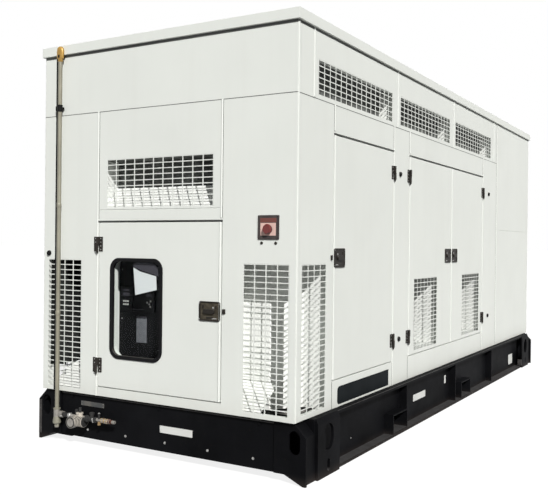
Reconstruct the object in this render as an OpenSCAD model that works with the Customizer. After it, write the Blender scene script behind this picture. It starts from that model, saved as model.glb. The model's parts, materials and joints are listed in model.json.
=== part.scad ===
// Containerised gas generator: a sound-attenuated steel enclosure on a black lifting skid.
// Millimetres. +Z is up and z = 0 is the ground. The length runs along X with the control end at -X,
// and the width along Y with the service-door side at -Y.

/* [Enclosure] */
// Length of the enclosure over its end walls
body_l = 6850; // [6600:10:7400]
// Width of the enclosure over its side walls
body_w = 2400; // [2350:10:2600]
// Height of the walls above the skid
body_h = 2750; // [2700:10:2900]
// Thickness of the lined wall and door panels
wall_t = 50; // [40:1:70]
// Height of the ventilation band at the top of the walls
band_h = 493; // [450:1:540]
// Height of the roof edge trim
trim_h = 75; // [50:1:90]
// Overhang of the roof edge trim beyond the walls
trim_out = 20; // [15:1:50]
// Thickness of the roof panel
roof_t = 50; // [30:1:60]

/* [Skid] */
// Height of the skid under the enclosure
skid_h = 430; // [400:10:500]
// Projection of the rail flanges beyond the enclosure
rail_out = 55; // [40:1:70]
// Width of the rail flanges
rail_w = 180; // [160:1:220]
// Thickness of the rail flanges
flange_t = 24; // [16:1:30]
// Thickness of the rail webs
web_t = 14; // [10:1:20]
// Thickness of a stiffener
stiffener_t = 12; // [8:1:20]
// Projection of the corner boxes beyond the enclosure sides
corner_out = 75; // [72:1:100]
// Setback of the corner boxes from the end walls
corner_back = 30; // [10:1:60]
// Length of a corner box along the skid
corner_l = 180; // [150:5:230]
// Width of the front face of a corner box
corner_w = 253; // [240:1:300]
// Height of the corner boxes' inner bottom edge above the ground
corner_lift = 65; // [50:1:110]
// Wall thickness of the corner boxes and lifting plates
corner_t = 20; // [12:1:30]
// Length of a lifting plate
lift_l = 350; // [300:5:400]
// Width of the lifting hole
lift_hole_w = 156; // [120:2:180]
// Height of the lifting hole
lift_hole_h = 190; // [180:1:240]
// Height of the end crossmember bottom above the ground
cross_lift = 65; // [40:1:100]
// Number of cross beams under the deck
beam_count = 9; // [6:1:12]
// Width of a cross beam
beam_w = 80; // [60:2:100]
// Clearance of the cross beams over the fork pockets
beam_clear = 11; // [5:1:30]
// Thickness of the deck plate
deck_t = 8; // [5:1:12]
// Outside width of a fork pocket
fork_w = 338; // [280:2:400]
// Outside height of a fork pocket
fork_h = 170; // [140:1:190]
// Wall thickness of a fork pocket
fork_t = 12; // [8:1:16]
// Distance from the front wall to the centre of the first fork pocket
fork_s1 = 1827; // [1700:1:1900]
// Distance between the fork pocket centres
fork_pitch = 1938; // [1880:1:2050]

/* [Front end] */
// Width of the panels beside the control door
front_side_w = 605; // [550:5:650]
// Height of the control door bottom above the skid
front_sill_h = 70; // [60:5:120]
// Height of the control door top above the skid
front_door_top = 1384; // [1300:2:1450]

/* [Service side] */
// Distance from the front wall to the single door
single_s = 563; // [520:1:600]
// Width of the single door opening
single_w = 1175; // [1000:1:1200]
// Width of the post between the single and double doors
post_w = 377; // [340:1:440]
// Width of the double door opening
double_w = 2405; // [2350:1:2450]
// Width of the front leaf of the double door
front_leaf_w = 1223; // [1100:1:1250]
// Width of the post behind the double doors
rear_post_w = 615; // [500:1:700]
// Height of the side doors' bottom above the skid
side_sill_h = 206; // [180:1:260]
// Height of the panels between the side doors and the ventilation band
header_h = 217; // [180:1:300]
// Height of the horizontal seam in the rear panels
rear_seam_h = 1425; // [1200:1:1600]

/* [Doors] */
// Gap around a door
door_gap = 8; // [7:0.5:12]
// Gap between the two leaves of the double door
leaf_gap = 11; // [11:0.5:14]
// Height of a hinge
hinge_h = 116; // [90:2:140]
// Width of one hinge leaf
hinge_leaf_w = 46; // [36:1:60]
// Thickness of a hinge leaf
hinge_leaf_t = 4; // [3:0.5:6]
// Distance of the hinge axis from the wall face
hinge_off = 16; // [15:0.5:22]
// Radius of a hinge knuckle
knuckle_r = 9; // [8:0.5:11]
// Radius of a hinge pin
pin_r = 5; // [4:0.5:6]
// Radial running clearance of a hinge pin
pin_clear = 0.08; // [0.05:0.01:0.1]
// Distance of the side doors' upper hinges below the door tops
hinge_down = 188; // [120:2:260]
// Height of the side doors' lower hinges above the skid
hinge_low = 392; // [320:1:450]
// Height of the control door's upper hinge above the skid
front_hinge_high = 1206; // [1100:2:1250]
// Height of the control door's lower hinge above the skid
front_hinge_low = 247; // [200:1:300]
// Width of a latch dish
latch_w = 184; // [150:2:200]
// Height of a latch dish
latch_h = 143; // [110:2:150]
// Projection of a latch dish from the door
latch_t = 8; // [8:1:16]
// Distance of a latch dish from the door's free edge
latch_in = 4; // [3:1:20]
// Distance of the double doors' latch dishes from their meeting edges
leaf_latch_in = 11; // [10:1:40]
// Height of the side doors' latches above the skid
side_latch_h = 1122; // [1000:2:1200]
// Height of the control door's latch above the skid
front_latch_h = 728; // [650:2:800]

/* [Window] */
// Width of the window over its rubber surround
window_w = 522; // [450:5:560]
// Height of the window over its rubber surround
window_h = 790; // [700:5:850]
// Distance of the window from the control door's hinge edge
window_in = 120; // [100:1:160]
// Height of the window bottom above the skid
window_low = 310; // [280:2:360]
// Corner radius of the window
window_r = 90; // [60:5:120]
// Visible width of the rubber surround
seal_w = 28; // [20:1:40]
// Overlap of the rubber surround on the door
seal_lip = 9; // [5:1:14]
// Thickness of the window glass
glass_t = 6; // [4:1:8]

/* [Grilles] */
// Distance between the vertical bars of a grille
pitch_u = 92.7; // [85:0.1:93]
// Distance between the horizontal bars of a grille
pitch_v = 41.8; // [38:0.1:42]
// Width of a vertical bar
bar_u = 8; // [6:0.5:14]
// Width of a horizontal bar
bar_v = 7; // [5:0.5:12]
// Thickness of the grille sheets
grille_t = 2.5; // [2:0.5:5]
// Distance of the front corner grilles from the corner
front_grille_in = 48; // [40:1:60]
// Distance of the side corner grilles from the corner
side_grille_in = 80; // [68:1:90]
// Height of the corner grilles' bottom above the skid
corner_grille_low = 29; // [20:1:40]
// Least width of the panel beside the front centre grille
centre_grille_rim = 76; // [74:1:100]
// Height of the front centre grille's bottom above the skid
centre_grille_low = 1490; // [1460:1:1520]
// Least height of the panel above the front centre grille
centre_grille_head = 370; // [355:1:385]
// Height of the band grilles' bottom above the band's lower edge
band_grille_up = 26; // [10:1:60]
// Distance from the front wall to the first band grille
band_grille_s = 302; // [280:1:340]
// Distance between the band grilles
band_grille_pitch = 1579; // [1560:1:1600]
// Distance of the front leaf's grille from the leaf's hinge edge
front_leaf_grille_in = 143; // [100:1:180]
// Distance of the rear leaf's grille from the leaf's hinge edge
rear_leaf_grille_in = 110; // [100:1:180]
// Height of the door grilles' bottom above the skid
door_grille_low = 240; // [225:1:300]
// Thickness of the sheet metal baffles behind the grilles
baffle_t = 3; // [2:0.5:5]
// Distance the openings and baffle boxes behind the grilles reach beyond the grilles
baffle_side = 70; // [20:1:72]
// Depth of the baffle box behind the front centre grille
centre_baffle_d = 165; // [100:5:180]
// Depth of the baffle boxes behind the band grilles
band_baffle_d = 112; // [60:2:140]
// Depth of the baffle boxes inside the doors
door_baffle_d = 280; // [150:5:300]
// Distance of the corner baffles behind the front wall
corner_baffle_x = 290; // [200:5:320]
// Distance of the corner baffles' far ends from the corner
corner_baffle_s = 526; // [420:2:540]

/* [Fittings] */
// Radius of the vent pipe
pipe_r = 17; // [12:0.5:20]
// Distance of the vent pipe's axis in front of the end wall
pipe_off = 40; // [32:1:50]
// Distance of the vent pipe from the blind side's corner
pipe_in = 205; // [150:1:260]
// Radius of the pressure regulator
regulator_r = 46; // [35:1:50]
// Height of the gas train's pipe above the ground
train_z = 250; // [235:1:258]
// Width of the emergency stop plate
stop_w = 170; // [140:5:200]
// Distance of the emergency stop plate from the corner
stop_in = 134; // [120:2:180]
// Height of the emergency stop plate's centre above the skid
stop_h = 1335; // [1250:1:1400]
// Radius of the emergency stop button
stop_r = 36; // [25:1:40]
// Radius of a door buffer
buffer_r = 19; // [15:1:25]
// Projection of a door buffer
buffer_l = 14; // [10:1:30]
// Height of the buffer beside the control door above the skid
front_buffer_h = 1128; // [1050:2:1180]
// Length of the control cabinet behind the window
cabinet_w = 780; // [700:10:900]
// Height of the control cabinet
cabinet_h = 1500; // [1300:10:1600]
// Depth of the control cabinet
cabinet_d = 380; // [300:10:500]
// Distance of the control cabinet behind the end wall's inner face
cabinet_in = 195; // [150:5:300]

/* [Hidden] */
$fn = 48;
e = 0.01;

skid_color = [0.06, 0.07, 0.08];
body_color = [0.88, 0.9, 0.88];
grille_color = [0.84, 0.86, 0.84];
fitting_color = [0.16, 0.15, 0.14];

// The regulator stands furthest forward and the roof trim furthest back: the origin lies midway.
train_off = pipe_off + regulator_r;
x_front = (train_off - trim_out - body_l) / 2;
x_rear = x_front + body_l;
x_mid = (x_front + x_rear) / 2;
y_side = -body_w / 2;
trim_z = skid_h + body_h;
top_z = trim_z + trim_h;
lower_h = body_h - band_h;
side_door_top = lower_h - header_h;
hinge_high = side_door_top - hinge_down;

// Skid: the rails run between the corner boxes, and the deck lies on beams between them.
rail_x0 = x_front + corner_back + corner_l;
rail_x1 = x_rear - corner_back - corner_l;
rail_y = y_side - rail_out;
web_y = rail_y + (rail_w - web_t) / 2;
corner_y = y_side - corner_out;
corner_chamfer = 100;
corner_inset = 20;
toe_w = 25;
toe_run = 170;
corner_hole_w = 90;
corner_hole_h = 165;
corner_hole_in = 90;
corner_hole_z = 290;
cross_back = 12;
stiffener_back = 12;
deck_z = skid_h - flange_t - deck_t;
fork_z = flange_t;
beam_z = fork_z + fork_h + beam_clear;
lift_chamfer = 40;
lift_hole_in = 168;
lift_hole_down = 56;
lift_hole_z = skid_h - lift_hole_down - lift_hole_h / 2;
lash_w = 40;
lash_h = 89;
lash_z = 77;
fork_x = [x_front + fork_s1, x_front + fork_s1 + fork_pitch];
stiffener_beside = 8;
stiffener_s = fork_s1 + fork_w / 2 + stiffener_beside;
// One stiffener stands beside the first fork pocket, one at mid-length and one as far from the rear.
stiffener_x = [x_front + stiffener_s, x_mid - stiffener_t / 2, x_rear - stiffener_s - stiffener_t];

// Doors along the service side, measured from the front wall.
post_s = single_s + single_w;
double_s = post_s + post_w;
rear_post_s = double_s + double_w;
rear_panel_s = rear_post_s + rear_post_w;
front_leaf_u = double_s + door_gap;
rear_leaf_w = double_w - 2 * door_gap - leaf_gap - front_leaf_w;
rear_leaf_u = rear_post_s - door_gap - rear_leaf_w;
front_hinge_u = body_w - front_side_w;

// Grille cell counts: columns and rows.
corner_grille_n = [4, 25];
centre_grille_n = [floor((body_w - 2 * (front_side_w + centre_grille_rim) - bar_u) / pitch_u),
                   floor((lower_h - centre_grille_head - centre_grille_low - bar_v) / pitch_v)];
band_grille_n = [15, 6];
door_grille_n = [7, 16];
band_grille_count = 3;
centre_grille_u = (body_w - grille_w(centre_grille_n)) / 2;
band_grille_low = lower_h + band_grille_up;
front_leaf_grille_u = front_leaf_u + front_leaf_grille_in;
rear_leaf_grille_u = rear_post_s - door_gap - rear_leaf_grille_in - grille_w(door_grille_n);
skin_t = 6;

// Cut-out in the sill under the single door, and its cover.
sill_cut_in = 99;
sill_cut_end = 64;
sill_cut_low = 14;
sill_cut_h = 138;
sill_cut_r = 35;
sill_cut_square = 60;
sill_cover_in = 3;
sill_cover_t = 6;
front_seam_h = centre_grille_low - 18;
seam_w = 6;
seam_d = 3;
drip_h = 7;
drip_out = 6;
corner_baffle_up = 40;
corner_baffle_turn = 220;
corner_baffle_slope = 0.65;
corner_baffle_h = corner_grille_low + grille_h(corner_grille_n) + corner_baffle_up;

// Window in the control door.
cabinet_gap = 6;
window_u = front_hinge_u - door_gap - window_in - window_w;
seal_out = 7;
seal_d = 18;
glass_in = 8;
reveal_d = 30;
reveal_t = 12;

// Hinges and latches.
pin_bore_r = pin_r + pin_clear;
knuckle_gap = 1;
strap_w = 20;
strap_t = 8;
pin_short = 6;
point_l = 20;
latch_r = 14;
dish_rim = 9;
dish_floor = 3;
handle_r = 15;
handle_out = 12;
handle_t = 12;
handle_w = 96;
handle_h = 32;
handle_end_r = 12;

// Fittings on the control end.
front_buffer_in = 60;
mid_buffer_in = 150;
rear_buffer_in = 250;
buffer_base_t = 5;
buffer_base_out = 3;
stop_t = 6;
stop_l = 16;
stop_cap_t = 14;
stop_down = 13;
stop_corner_r = 6;
pipe_x = x_front - pipe_off;
pipe_y = -y_side - pipe_in;
pipe_top = trim_z + 35;
clamp_heights = [body_h - 440, body_h - 18];
clamp_h = 24;
clamp_t = 4;
clamp_foot = 20;
tee_r = 26;
tee_top = 284;
tee_bottom = 170;
plug_l = 32;
nipple_r = 13;
nipple_l = 50;
union_at = 40;
union_l = 32;
regulator_at = 194;
regulator_down = 45;
filter_l = 115;
filter_down = 33;
filter_slim = 4;
outlet_at = 575;
fitting_l = 90;
fitting_r = 18;
bracket_w = 30;

function grille_w(n) = n[0] * pitch_u + bar_u;
function grille_h(n) = n[1] * pitch_v + bar_v;

// ---------------------------------------------------------------- helpers
module block(x0, x1, y0, y1, z0, z1) {
  translate([x0, y0, z0]) cube([x1 - x0, y1 - y0, z1 - z0]);
}

module rect(u0, u1, v0, v1) {
  translate([u0, v0]) square([u1 - u0, v1 - v0]);
}

module round_rect(u0, u1, v0, v1, r) {
  rect(u0 + r, u1 - r, v0, v1);
  rect(u0, u1, v0 + r, v1 - r);
  for (u = [u0 + r, u1 - r], v = [v0 + r, v1 - r]) translate([u, v]) circle(r);
}

module oval(u, v, w, h) {
  for (s = [-1, 1]) translate([u, v + s * (h - w) / 2]) circle(d = w);
  rect(u - w / 2, u + w / 2, v - (h - w) / 2, v + (h - w) / 2);
}

// Face frames: u runs across the face from the front right corner, v up from the skid, t inward.
module front_face() translate([x_front, y_side, skid_h]) rotate([90, 0, 90]) children();

module side_face() translate([x_front, y_side, skid_h]) rotate([90, 0, 0]) mirror([0, 0, 1]) children();

// A sheet of the given outline between two depths.
module sheet(t0, t1) translate([0, 0, t0]) linear_extrude(t1 - t0) children();

module at_rear() translate([2 * x_mid, 0, 0]) mirror([1, 0, 0]) children();

module at_left() mirror([0, 1, 0]) children();

module at_corners() {
  children();
  at_left() children();
  at_rear() children();
  at_rear() at_left() children();
}

// A pressed seam line across the outer face of a panel.
module seam(u0, u1, v) sheet(-1, seam_d) rect(u0, u1, v, v + seam_w);

module grille_hole(u, v, n) rect(u, u + grille_w(n), v, v + grille_h(n));

// Outline of a punched grille sheet with its lower corner at (u, v).
module grille(u, v, n) {
  difference() {
    grille_hole(u, v, n);
    for (i = [0 : n[0] - 1], j = [0 : n[1] - 1])
      translate([u + bar_u + i * pitch_u, v + bar_v + j * pitch_v])
        square([pitch_u - bar_u, pitch_v - bar_v]);
  }
}

// An opening for a grille through a panel: the grille's own size in the outer skin, and wider
// behind the skin by near and far.
module opening(u, v, n, near, far) {
  sheet(-1, wall_t + 1) grille_hole(u, v, n);
  sheet(skin_t, wall_t + 1) rect(u - near, u + grille_w(n) + far, v, v + grille_h(n));
}

// A sheet metal box on the inner face of a panel, open towards the grille in it.
module baffle_box(u, v, n, d) {
  w = grille_w(n) + 2 * baffle_side;
  h = grille_h(n);
  difference() {
    translate([u - baffle_side - baffle_t, v - baffle_t, wall_t])
      cube([w + 2 * baffle_t, h + 2 * baffle_t, d]);
    translate([u - baffle_side, v, wall_t - 1]) cube([w, h, d - baffle_t + 1]);
  }
}

// ---------------------------------------------------------------- skid
module lifting_hole() oval(0, lift_hole_z, lift_hole_w, lift_hole_h);

module rail() {
  difference() {
    union() {
      block(rail_x0, rail_x1, rail_y, rail_y + rail_w, 0, flange_t);
      block(rail_x0, rail_x1, rail_y, rail_y + rail_w, skid_h - flange_t, skid_h);
      block(rail_x0, rail_x1, web_y, web_y + web_t, flange_t, skid_h - flange_t);
      for (x = stiffener_x)
        block(x, x + stiffener_t, rail_y + stiffener_back, web_y, flange_t, skid_h - flange_t);
    }
    for (x = fork_x)
      block(x - fork_w / 2, x + fork_w / 2, rail_y - 1, rail_y + rail_w + 1, fork_z, fork_z + fork_h);
    for (x = [rail_x0 + lift_hole_in, rail_x1 - lift_hole_in]) translate([x, web_y + web_t + 1, 0])
      rotate([90, 0, 0]) linear_extrude(web_t + 2) lifting_hole();
  }
}

module rails() color(skid_color) {
  rail();
  at_left() rail();
}

module end_crossmember() {
  x0 = x_front + corner_back + cross_back;
  y0 = corner_y + corner_w;
  block(x0, x0 + web_t, y0, -y0, cross_lift, skid_h);
  block(x0 + web_t, rail_x0, y0, -y0, cross_lift, cross_lift + flange_t);
  block(x0 + web_t, rail_x0, y0, -y0, skid_h - flange_t, skid_h);
}

module end_crossmembers() color(skid_color) {
  end_crossmember();
  at_rear() end_crossmember();
}

// Cross beams between the rail webs carry the deck plate.
module floor_beams() {
  pitch = (rail_x1 - rail_x0 - beam_w) / (beam_count - 1);
  color(skid_color) for (i = [0 : beam_count - 1])
    block(rail_x0 + i * pitch, rail_x0 + i * pitch + beam_w, web_y + web_t, -web_y - web_t, beam_z,
          deck_z);
}

module deck() color([0.2, 0.21, 0.22])
  block(rail_x0, rail_x1, rail_y + rail_w, -rail_y - rail_w, deck_z, deck_z + deck_t);

module fork_pockets() color(skid_color) for (x = fork_x) difference() {
  block(x - fork_w / 2, x + fork_w / 2, rail_y, -rail_y, fork_z, fork_z + fork_h);
  block(x - fork_w / 2 + fork_t, x + fork_w / 2 - fork_t, rail_y - 1, 1 - rail_y,
        fork_z + fork_t, fork_z + fork_h - fork_t);
}

// A boxed corner of welded plate behind a front plate that is chamfered at the outer top edge and
// reaches the ground at the outer corner; inset sets the box back from the front plate's outer edge.
module corner_outline(inset, t) polygon([
  [corner_y + inset + t, t], [corner_y + max(toe_w, inset) + t, t],
  [corner_y + toe_run, corner_lift + t], [corner_y + corner_w - t, corner_lift + t],
  [corner_y + corner_w - t, skid_h - t], [corner_y + inset + corner_chamfer + t, skid_h - t],
  [corner_y + inset + t, skid_h - corner_chamfer - t]
]);

// Squares the box off at its inner end, against the lifting plate.
module corner_fill() translate([corner_y + corner_inset, skid_h - corner_chamfer])
  polygon([[0, -corner_t], [0, corner_chamfer], [corner_chamfer + corner_t, corner_chamfer]]);

module corner_box() translate([x_front + corner_back, 0, 0]) rotate([90, 0, 90]) difference() {
  union() {
    linear_extrude(corner_t) corner_outline(0, 0);
    linear_extrude(corner_l) corner_outline(corner_inset, 0);
    translate([0, 0, corner_l - corner_t]) linear_extrude(corner_t) corner_fill();
  }
  translate([0, 0, corner_t]) linear_extrude(corner_l - 2 * corner_t)
    corner_outline(corner_inset, corner_t);
  translate([0, 0, -1]) linear_extrude(corner_t + 2)
    oval(corner_y + corner_hole_in, corner_hole_z, corner_hole_w, corner_hole_h);
}

module corner_boxes() color(skid_color) at_corners() corner_box();

// A plate across the rail flanges with the lifting hole and a lashing slot below it.
module lifting_plate() {
  hole_x = rail_x0 + lift_hole_in;
  difference() {
    translate([rail_x0, 0, 0]) rotate([90, 0, 90]) linear_extrude(lift_l) polygon([
      [corner_y, 0], [rail_y, 0], [rail_y, skid_h], [corner_y, skid_h - lift_chamfer]
    ]);
    translate([hole_x, rail_y + 1, 0]) rotate([90, 0, 0]) linear_extrude(corner_out - rail_out + 2) {
      lifting_hole();
      oval(0, lash_z, lash_w, lash_h);
    }
  }
}

module lifting_plates() color(skid_color) at_corners() lifting_plate();

// ---------------------------------------------------------------- control end
module front_panel() front_face() difference() {
  sheet(0, wall_t) rect(0, front_side_w, 0, lower_h);
  opening(front_grille_in, corner_grille_low, corner_grille_n, 0, baffle_side);
}

module front_panels() color(body_color) {
  front_panel();
  at_left() front_panel();
}

module front_header() color(body_color) front_face() difference() {
  sheet(0, wall_t) rect(front_side_w, front_hinge_u, front_door_top, lower_h);
  opening(centre_grille_u, centre_grille_low, centre_grille_n, baffle_side, baffle_side);
  seam(front_side_w - 1, front_hinge_u + 1, front_seam_h);
}

module front_sill() color(body_color) front_face() sheet(0, wall_t)
  rect(front_side_w, front_hinge_u, 0, front_sill_h);

module front_band() color(body_color) front_face() sheet(0, wall_t) rect(0, body_w, lower_h, body_h);

module front_corner_grille() front_face() sheet(0, grille_t)
  grille(front_grille_in, corner_grille_low, corner_grille_n);

module front_grilles() color(grille_color) {
  front_face() sheet(0, grille_t) grille(centre_grille_u, centre_grille_low, centre_grille_n);
  front_corner_grille();
  at_left() front_corner_grille();
}

// ---------------------------------------------------------------- service side
// The side corner opening reaches as far behind the skin as the corner baffle's end.
module corner_opening() opening(side_grille_in, corner_grille_low, corner_grille_n, 0,
                                corner_baffle_s - side_grille_in - grille_w(corner_grille_n));

module band_openings() for (i = [0 : band_grille_count - 1])
  opening(band_grille_s + i * band_grille_pitch, band_grille_low, band_grille_n, baffle_side, baffle_side);

module right_corner_panel() color(body_color) side_face() difference() {
  sheet(0, wall_t) rect(wall_t, single_s, 0, lower_h);
  corner_opening();
}

module right_mid_post() color(body_color) side_face() sheet(0, wall_t) rect(post_s, double_s, 0, lower_h);

module right_rear_post() color(body_color) side_face() sheet(0, wall_t)
  rect(rear_post_s, rear_panel_s, 0, lower_h);

module right_headers() color(body_color) side_face() sheet(0, wall_t) {
  rect(single_s, post_s, side_door_top, lower_h);
  rect(double_s, rear_post_s, side_door_top, lower_h);
}

module sill_cut() {
  u0 = single_s + sill_cut_in;
  u1 = post_s - sill_cut_end;
  round_rect(u0, u1, sill_cut_low, sill_cut_low + sill_cut_h, sill_cut_r);
  rect(u1 - sill_cut_square, u1, sill_cut_low, sill_cut_low + sill_cut_h);
}

module right_sills() color(body_color) side_face() sheet(0, wall_t) {
  difference() {
    rect(single_s, post_s, 0, side_sill_h);
    sill_cut();
  }
  rect(double_s, rear_post_s, 0, side_sill_h);
}

// A dark plate that closes the cut-out under the single door.
module right_sill_cover() color(skid_color) side_face() sheet(sill_cover_in, sill_cover_in + sill_cover_t)
  sill_cut();

module right_band() color(body_color) side_face() difference() {
  sheet(0, wall_t) rect(wall_t, rear_panel_s, lower_h, body_h);
  band_openings();
}

module wall_grilles() side_face() sheet(0, grille_t) {
  grille(side_grille_in, corner_grille_low, corner_grille_n);
  for (i = [0 : band_grille_count - 1])
    grille(band_grille_s + i * band_grille_pitch, band_grille_low, band_grille_n);
}

module right_grilles() color(grille_color) wall_grilles();

module right_rear_panel() color(body_color) side_face() difference() {
  sheet(0, wall_t) rect(rear_panel_s, body_l - wall_t, 0, body_h);
  seam(rear_panel_s - 1, body_l - wall_t + 1, rear_seam_h);
}

// ---------------------------------------------------------------- blind side and rear
module left_wall() color(body_color) at_left() side_face() difference() {
  sheet(0, wall_t) difference() {
    rect(wall_t, body_l - wall_t, 0, body_h);
    rect(single_s, post_s, side_sill_h, side_door_top);
    rect(double_s, rear_post_s, side_sill_h, side_door_top);
  }
  corner_opening();
  band_openings();
  seam(rear_panel_s, body_l - wall_t + 1, rear_seam_h);
}

module left_doors() color(body_color) at_left() {
  single_door_panel();
  bay_door_panel(front_leaf_u, front_leaf_w, front_leaf_grille_u);
  bay_door_panel(rear_leaf_u, rear_leaf_w, rear_leaf_grille_u);
}

module left_grilles() color(grille_color) at_left() wall_grilles();

module left_door_grilles() color(grille_color) at_left() {
  bay_door_grille(front_leaf_grille_u);
  bay_door_grille(rear_leaf_grille_u);
}

module left_hinges() color(fitting_color) at_left() side_face()
  for (place = [[post_s, -1], [double_s, 1], [rear_post_s, -1]], v = [hinge_high, hinge_low])
    closed_hinge(place[0], v, place[1]);

module left_latches() color(fitting_color) at_left() side_face() {
  latch(single_s + door_gap + latch_in, side_latch_h);
  latch(front_leaf_u + front_leaf_w - leaf_latch_in - latch_w, side_latch_h);
  latch(rear_leaf_u + leaf_latch_in, side_latch_h);
}

module rear_wall() color(body_color) at_rear() front_face() difference() {
  sheet(0, wall_t) rect(0, body_w, 0, body_h);
  seam(-1, body_w + 1, rear_seam_h);
}

// ---------------------------------------------------------------- roof
module roof_trim() color(body_color) difference() {
  block(x_front - trim_out, x_rear + trim_out, y_side - trim_out, trim_out - y_side, trim_z, top_z);
  block(x_front + wall_t, x_rear - wall_t, y_side + wall_t, -y_side - wall_t, trim_z - 1, top_z + 1);
}

module roof_panel() color(body_color)
  block(x_front + wall_t, x_rear - wall_t, y_side + wall_t, -y_side - wall_t, trim_z, trim_z + roof_t);

// ---------------------------------------------------------------- behind the openings
// A folded sheet behind both grilles of a front corner. It runs inward from the side wall, turns
// forward, follows the front wall and returns to it beside the control door.
module corner_baffle() {
  turn_y = corner_baffle_turn + (corner_baffle_s - corner_baffle_x) * corner_baffle_slope;
  path = [[corner_baffle_s, wall_t], [corner_baffle_s, corner_baffle_turn], [corner_baffle_x, turn_y],
          [corner_baffle_x, front_side_w - baffle_t], [wall_t, front_side_w - baffle_t]];
  last = len(path) - 1;
  back = [for (i = [last : -1 : 0])
    path[i] + (i == last ? [0, baffle_t] : i == last - 1 ? [baffle_t, baffle_t] : [baffle_t, 0])];
  translate([x_front, y_side, skid_h]) linear_extrude(corner_baffle_h) polygon(concat(path, back));
}

module corner_baffles() color(body_color) {
  corner_baffle();
  at_left() corner_baffle();
}

module band_baffles() side_face() for (i = [0 : band_grille_count - 1])
  baffle_box(band_grille_s + i * band_grille_pitch, band_grille_low, band_grille_n, band_baffle_d);

module grille_baffles() color(body_color) {
  front_face() baffle_box(centre_grille_u, centre_grille_low, centre_grille_n, centre_baffle_d);
  band_baffles();
  at_left() band_baffles();
}

// The control cabinet stands on the deck behind the window.
module control_cabinet() {
  x0 = x_front + wall_t + cabinet_in;
  y1 = y_side + front_hinge_u - cabinet_gap;
  z0 = deck_z + deck_t;
  color([0.06, 0.06, 0.07]) block(x0, x0 + cabinet_d, y1 - cabinet_w, y1, z0, z0 + cabinet_h);
}

// Black rubber drip strips over the doors.
module drip_rails() color([0.12, 0.12, 0.12]) {
  front_face() sheet(-drip_out, 0)
    rect(front_side_w, front_hinge_u, front_door_top, front_door_top + drip_h);
  side_face() sheet(-drip_out, 0) {
    rect(single_s, post_s, side_door_top, side_door_top + drip_h);
    rect(double_s, rear_post_s, side_door_top, side_door_top + drip_h);
  }
}

// ---------------------------------------------------------------- hinges and latches
module along_v(v0, v1, r) translate([0, v0, -hinge_off]) rotate([-90, 0, 0]) cylinder(h = v1 - v0, r = r);

// One hinge leaf with its strap and knuckle; side is +1 or -1 across the face, v0 to v1 the knuckle.
module hinge_leaf(side, v0, v1) {
  u0 = side > 0 ? door_gap : -hinge_leaf_w;
  s0 = side > 0 ? knuckle_r / 2 : -strap_w;
  translate([u0, -hinge_h / 2, -hinge_leaf_t]) cube([hinge_leaf_w - door_gap, hinge_h, hinge_leaf_t]);
  translate([s0, v0, -hinge_off - strap_t / 2])
    cube([strap_w - knuckle_r / 2, v1 - v0, hinge_off + strap_t / 2]);
  along_v(v0, v1, knuckle_r);
}

// The half on the wall: the lower knuckle carries the pin, with a pointed end below.
module fixed_hinge(u, v, side) translate([u, v, 0]) {
  hinge_leaf(-side, -hinge_h / 2, -knuckle_gap / 2);
  along_v(-hinge_h / 2, hinge_h / 2 - pin_short, pin_r);
  translate([0, -hinge_h / 2, -hinge_off]) rotate([90, 0, 0]) cylinder(h = point_l, r1 = knuckle_r, r2 = 2);
}

// The half on the door: the upper knuckle turns on the pin.
module door_hinge(u, v, side) translate([u, v, 0]) difference() {
  hinge_leaf(side, knuckle_gap / 2, hinge_h / 2);
  along_v(-hinge_h, hinge_h, pin_bore_r);
}

// Both halves as one piece, for the doors that stay shut.
module closed_hinge(u, v, side) translate([u, v, 0]) {
  hinge_leaf(-side, -hinge_h / 2, 0);
  hinge_leaf(side, 0, hinge_h / 2);
  translate([0, -hinge_h / 2, -hinge_off]) rotate([90, 0, 0]) cylinder(h = point_l, r1 = knuckle_r, r2 = 2);
}

module side_fixed_hinges(u, side) for (v = [hinge_high, hinge_low]) fixed_hinge(u, v, side);

module side_door_hinge_pair(u, side) for (v = [hinge_high, hinge_low]) door_hinge(u, v, side);

module front_hinge_heights() for (v = [front_hinge_high, front_hinge_low]) translate([0, v, 0]) children();

module side_hinge_plates() side_face() {
  side_fixed_hinges(post_s, -1);
  side_fixed_hinges(double_s, 1);
  side_fixed_hinges(rear_post_s, -1);
}

module hinge_plates() color(fitting_color) {
  front_face() front_hinge_heights() fixed_hinge(front_hinge_u, 0, -1);
  side_hinge_plates();
}

// A latch dish with a recess and a T handle; u is its lower corner's place, v its middle.
module latch(u, v) translate([u, v - latch_h / 2, -latch_t]) {
  difference() {
    linear_extrude(latch_t) round_rect(0, latch_w, 0, latch_h, latch_r);
    translate([0, 0, -1]) linear_extrude(latch_t - dish_floor + 1)
      round_rect(dish_rim, latch_w - dish_rim, dish_rim, latch_h - dish_rim, latch_r / 2);
  }
  translate([latch_w / 2, latch_h / 2, -handle_out]) {
    cylinder(h = latch_t + handle_out - dish_floor + 1, r = handle_r);
    linear_extrude(handle_t)
      round_rect(-handle_w / 2, handle_w / 2, -handle_h / 2, handle_h / 2, handle_end_r);
  }
}

// ---------------------------------------------------------------- control door
module window(edge) round_rect(window_u + edge, window_u + window_w - edge,
                               window_low + edge, window_low + window_h - edge, window_r - edge);

// The door panel and the raised flange round the window on its inner face.
module control_door() color(body_color) front_face() {
  sheet(0, wall_t) difference() {
    rect(front_side_w + door_gap, front_hinge_u - door_gap,
         front_sill_h + door_gap, front_door_top - door_gap);
    window(seal_lip);
  }
  sheet(wall_t, wall_t + reveal_d) difference() {
    window(-reveal_t);
    window(seal_lip);
  }
}

module control_door_seal() color([0.05, 0.05, 0.05]) front_face() difference() {
  union() {
    sheet(-seal_out, 0) window(0);
    sheet(-seal_out, seal_d) window(seal_lip);
  }
  sheet(-seal_out - 1, seal_d + 1) window(seal_w);
}

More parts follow.
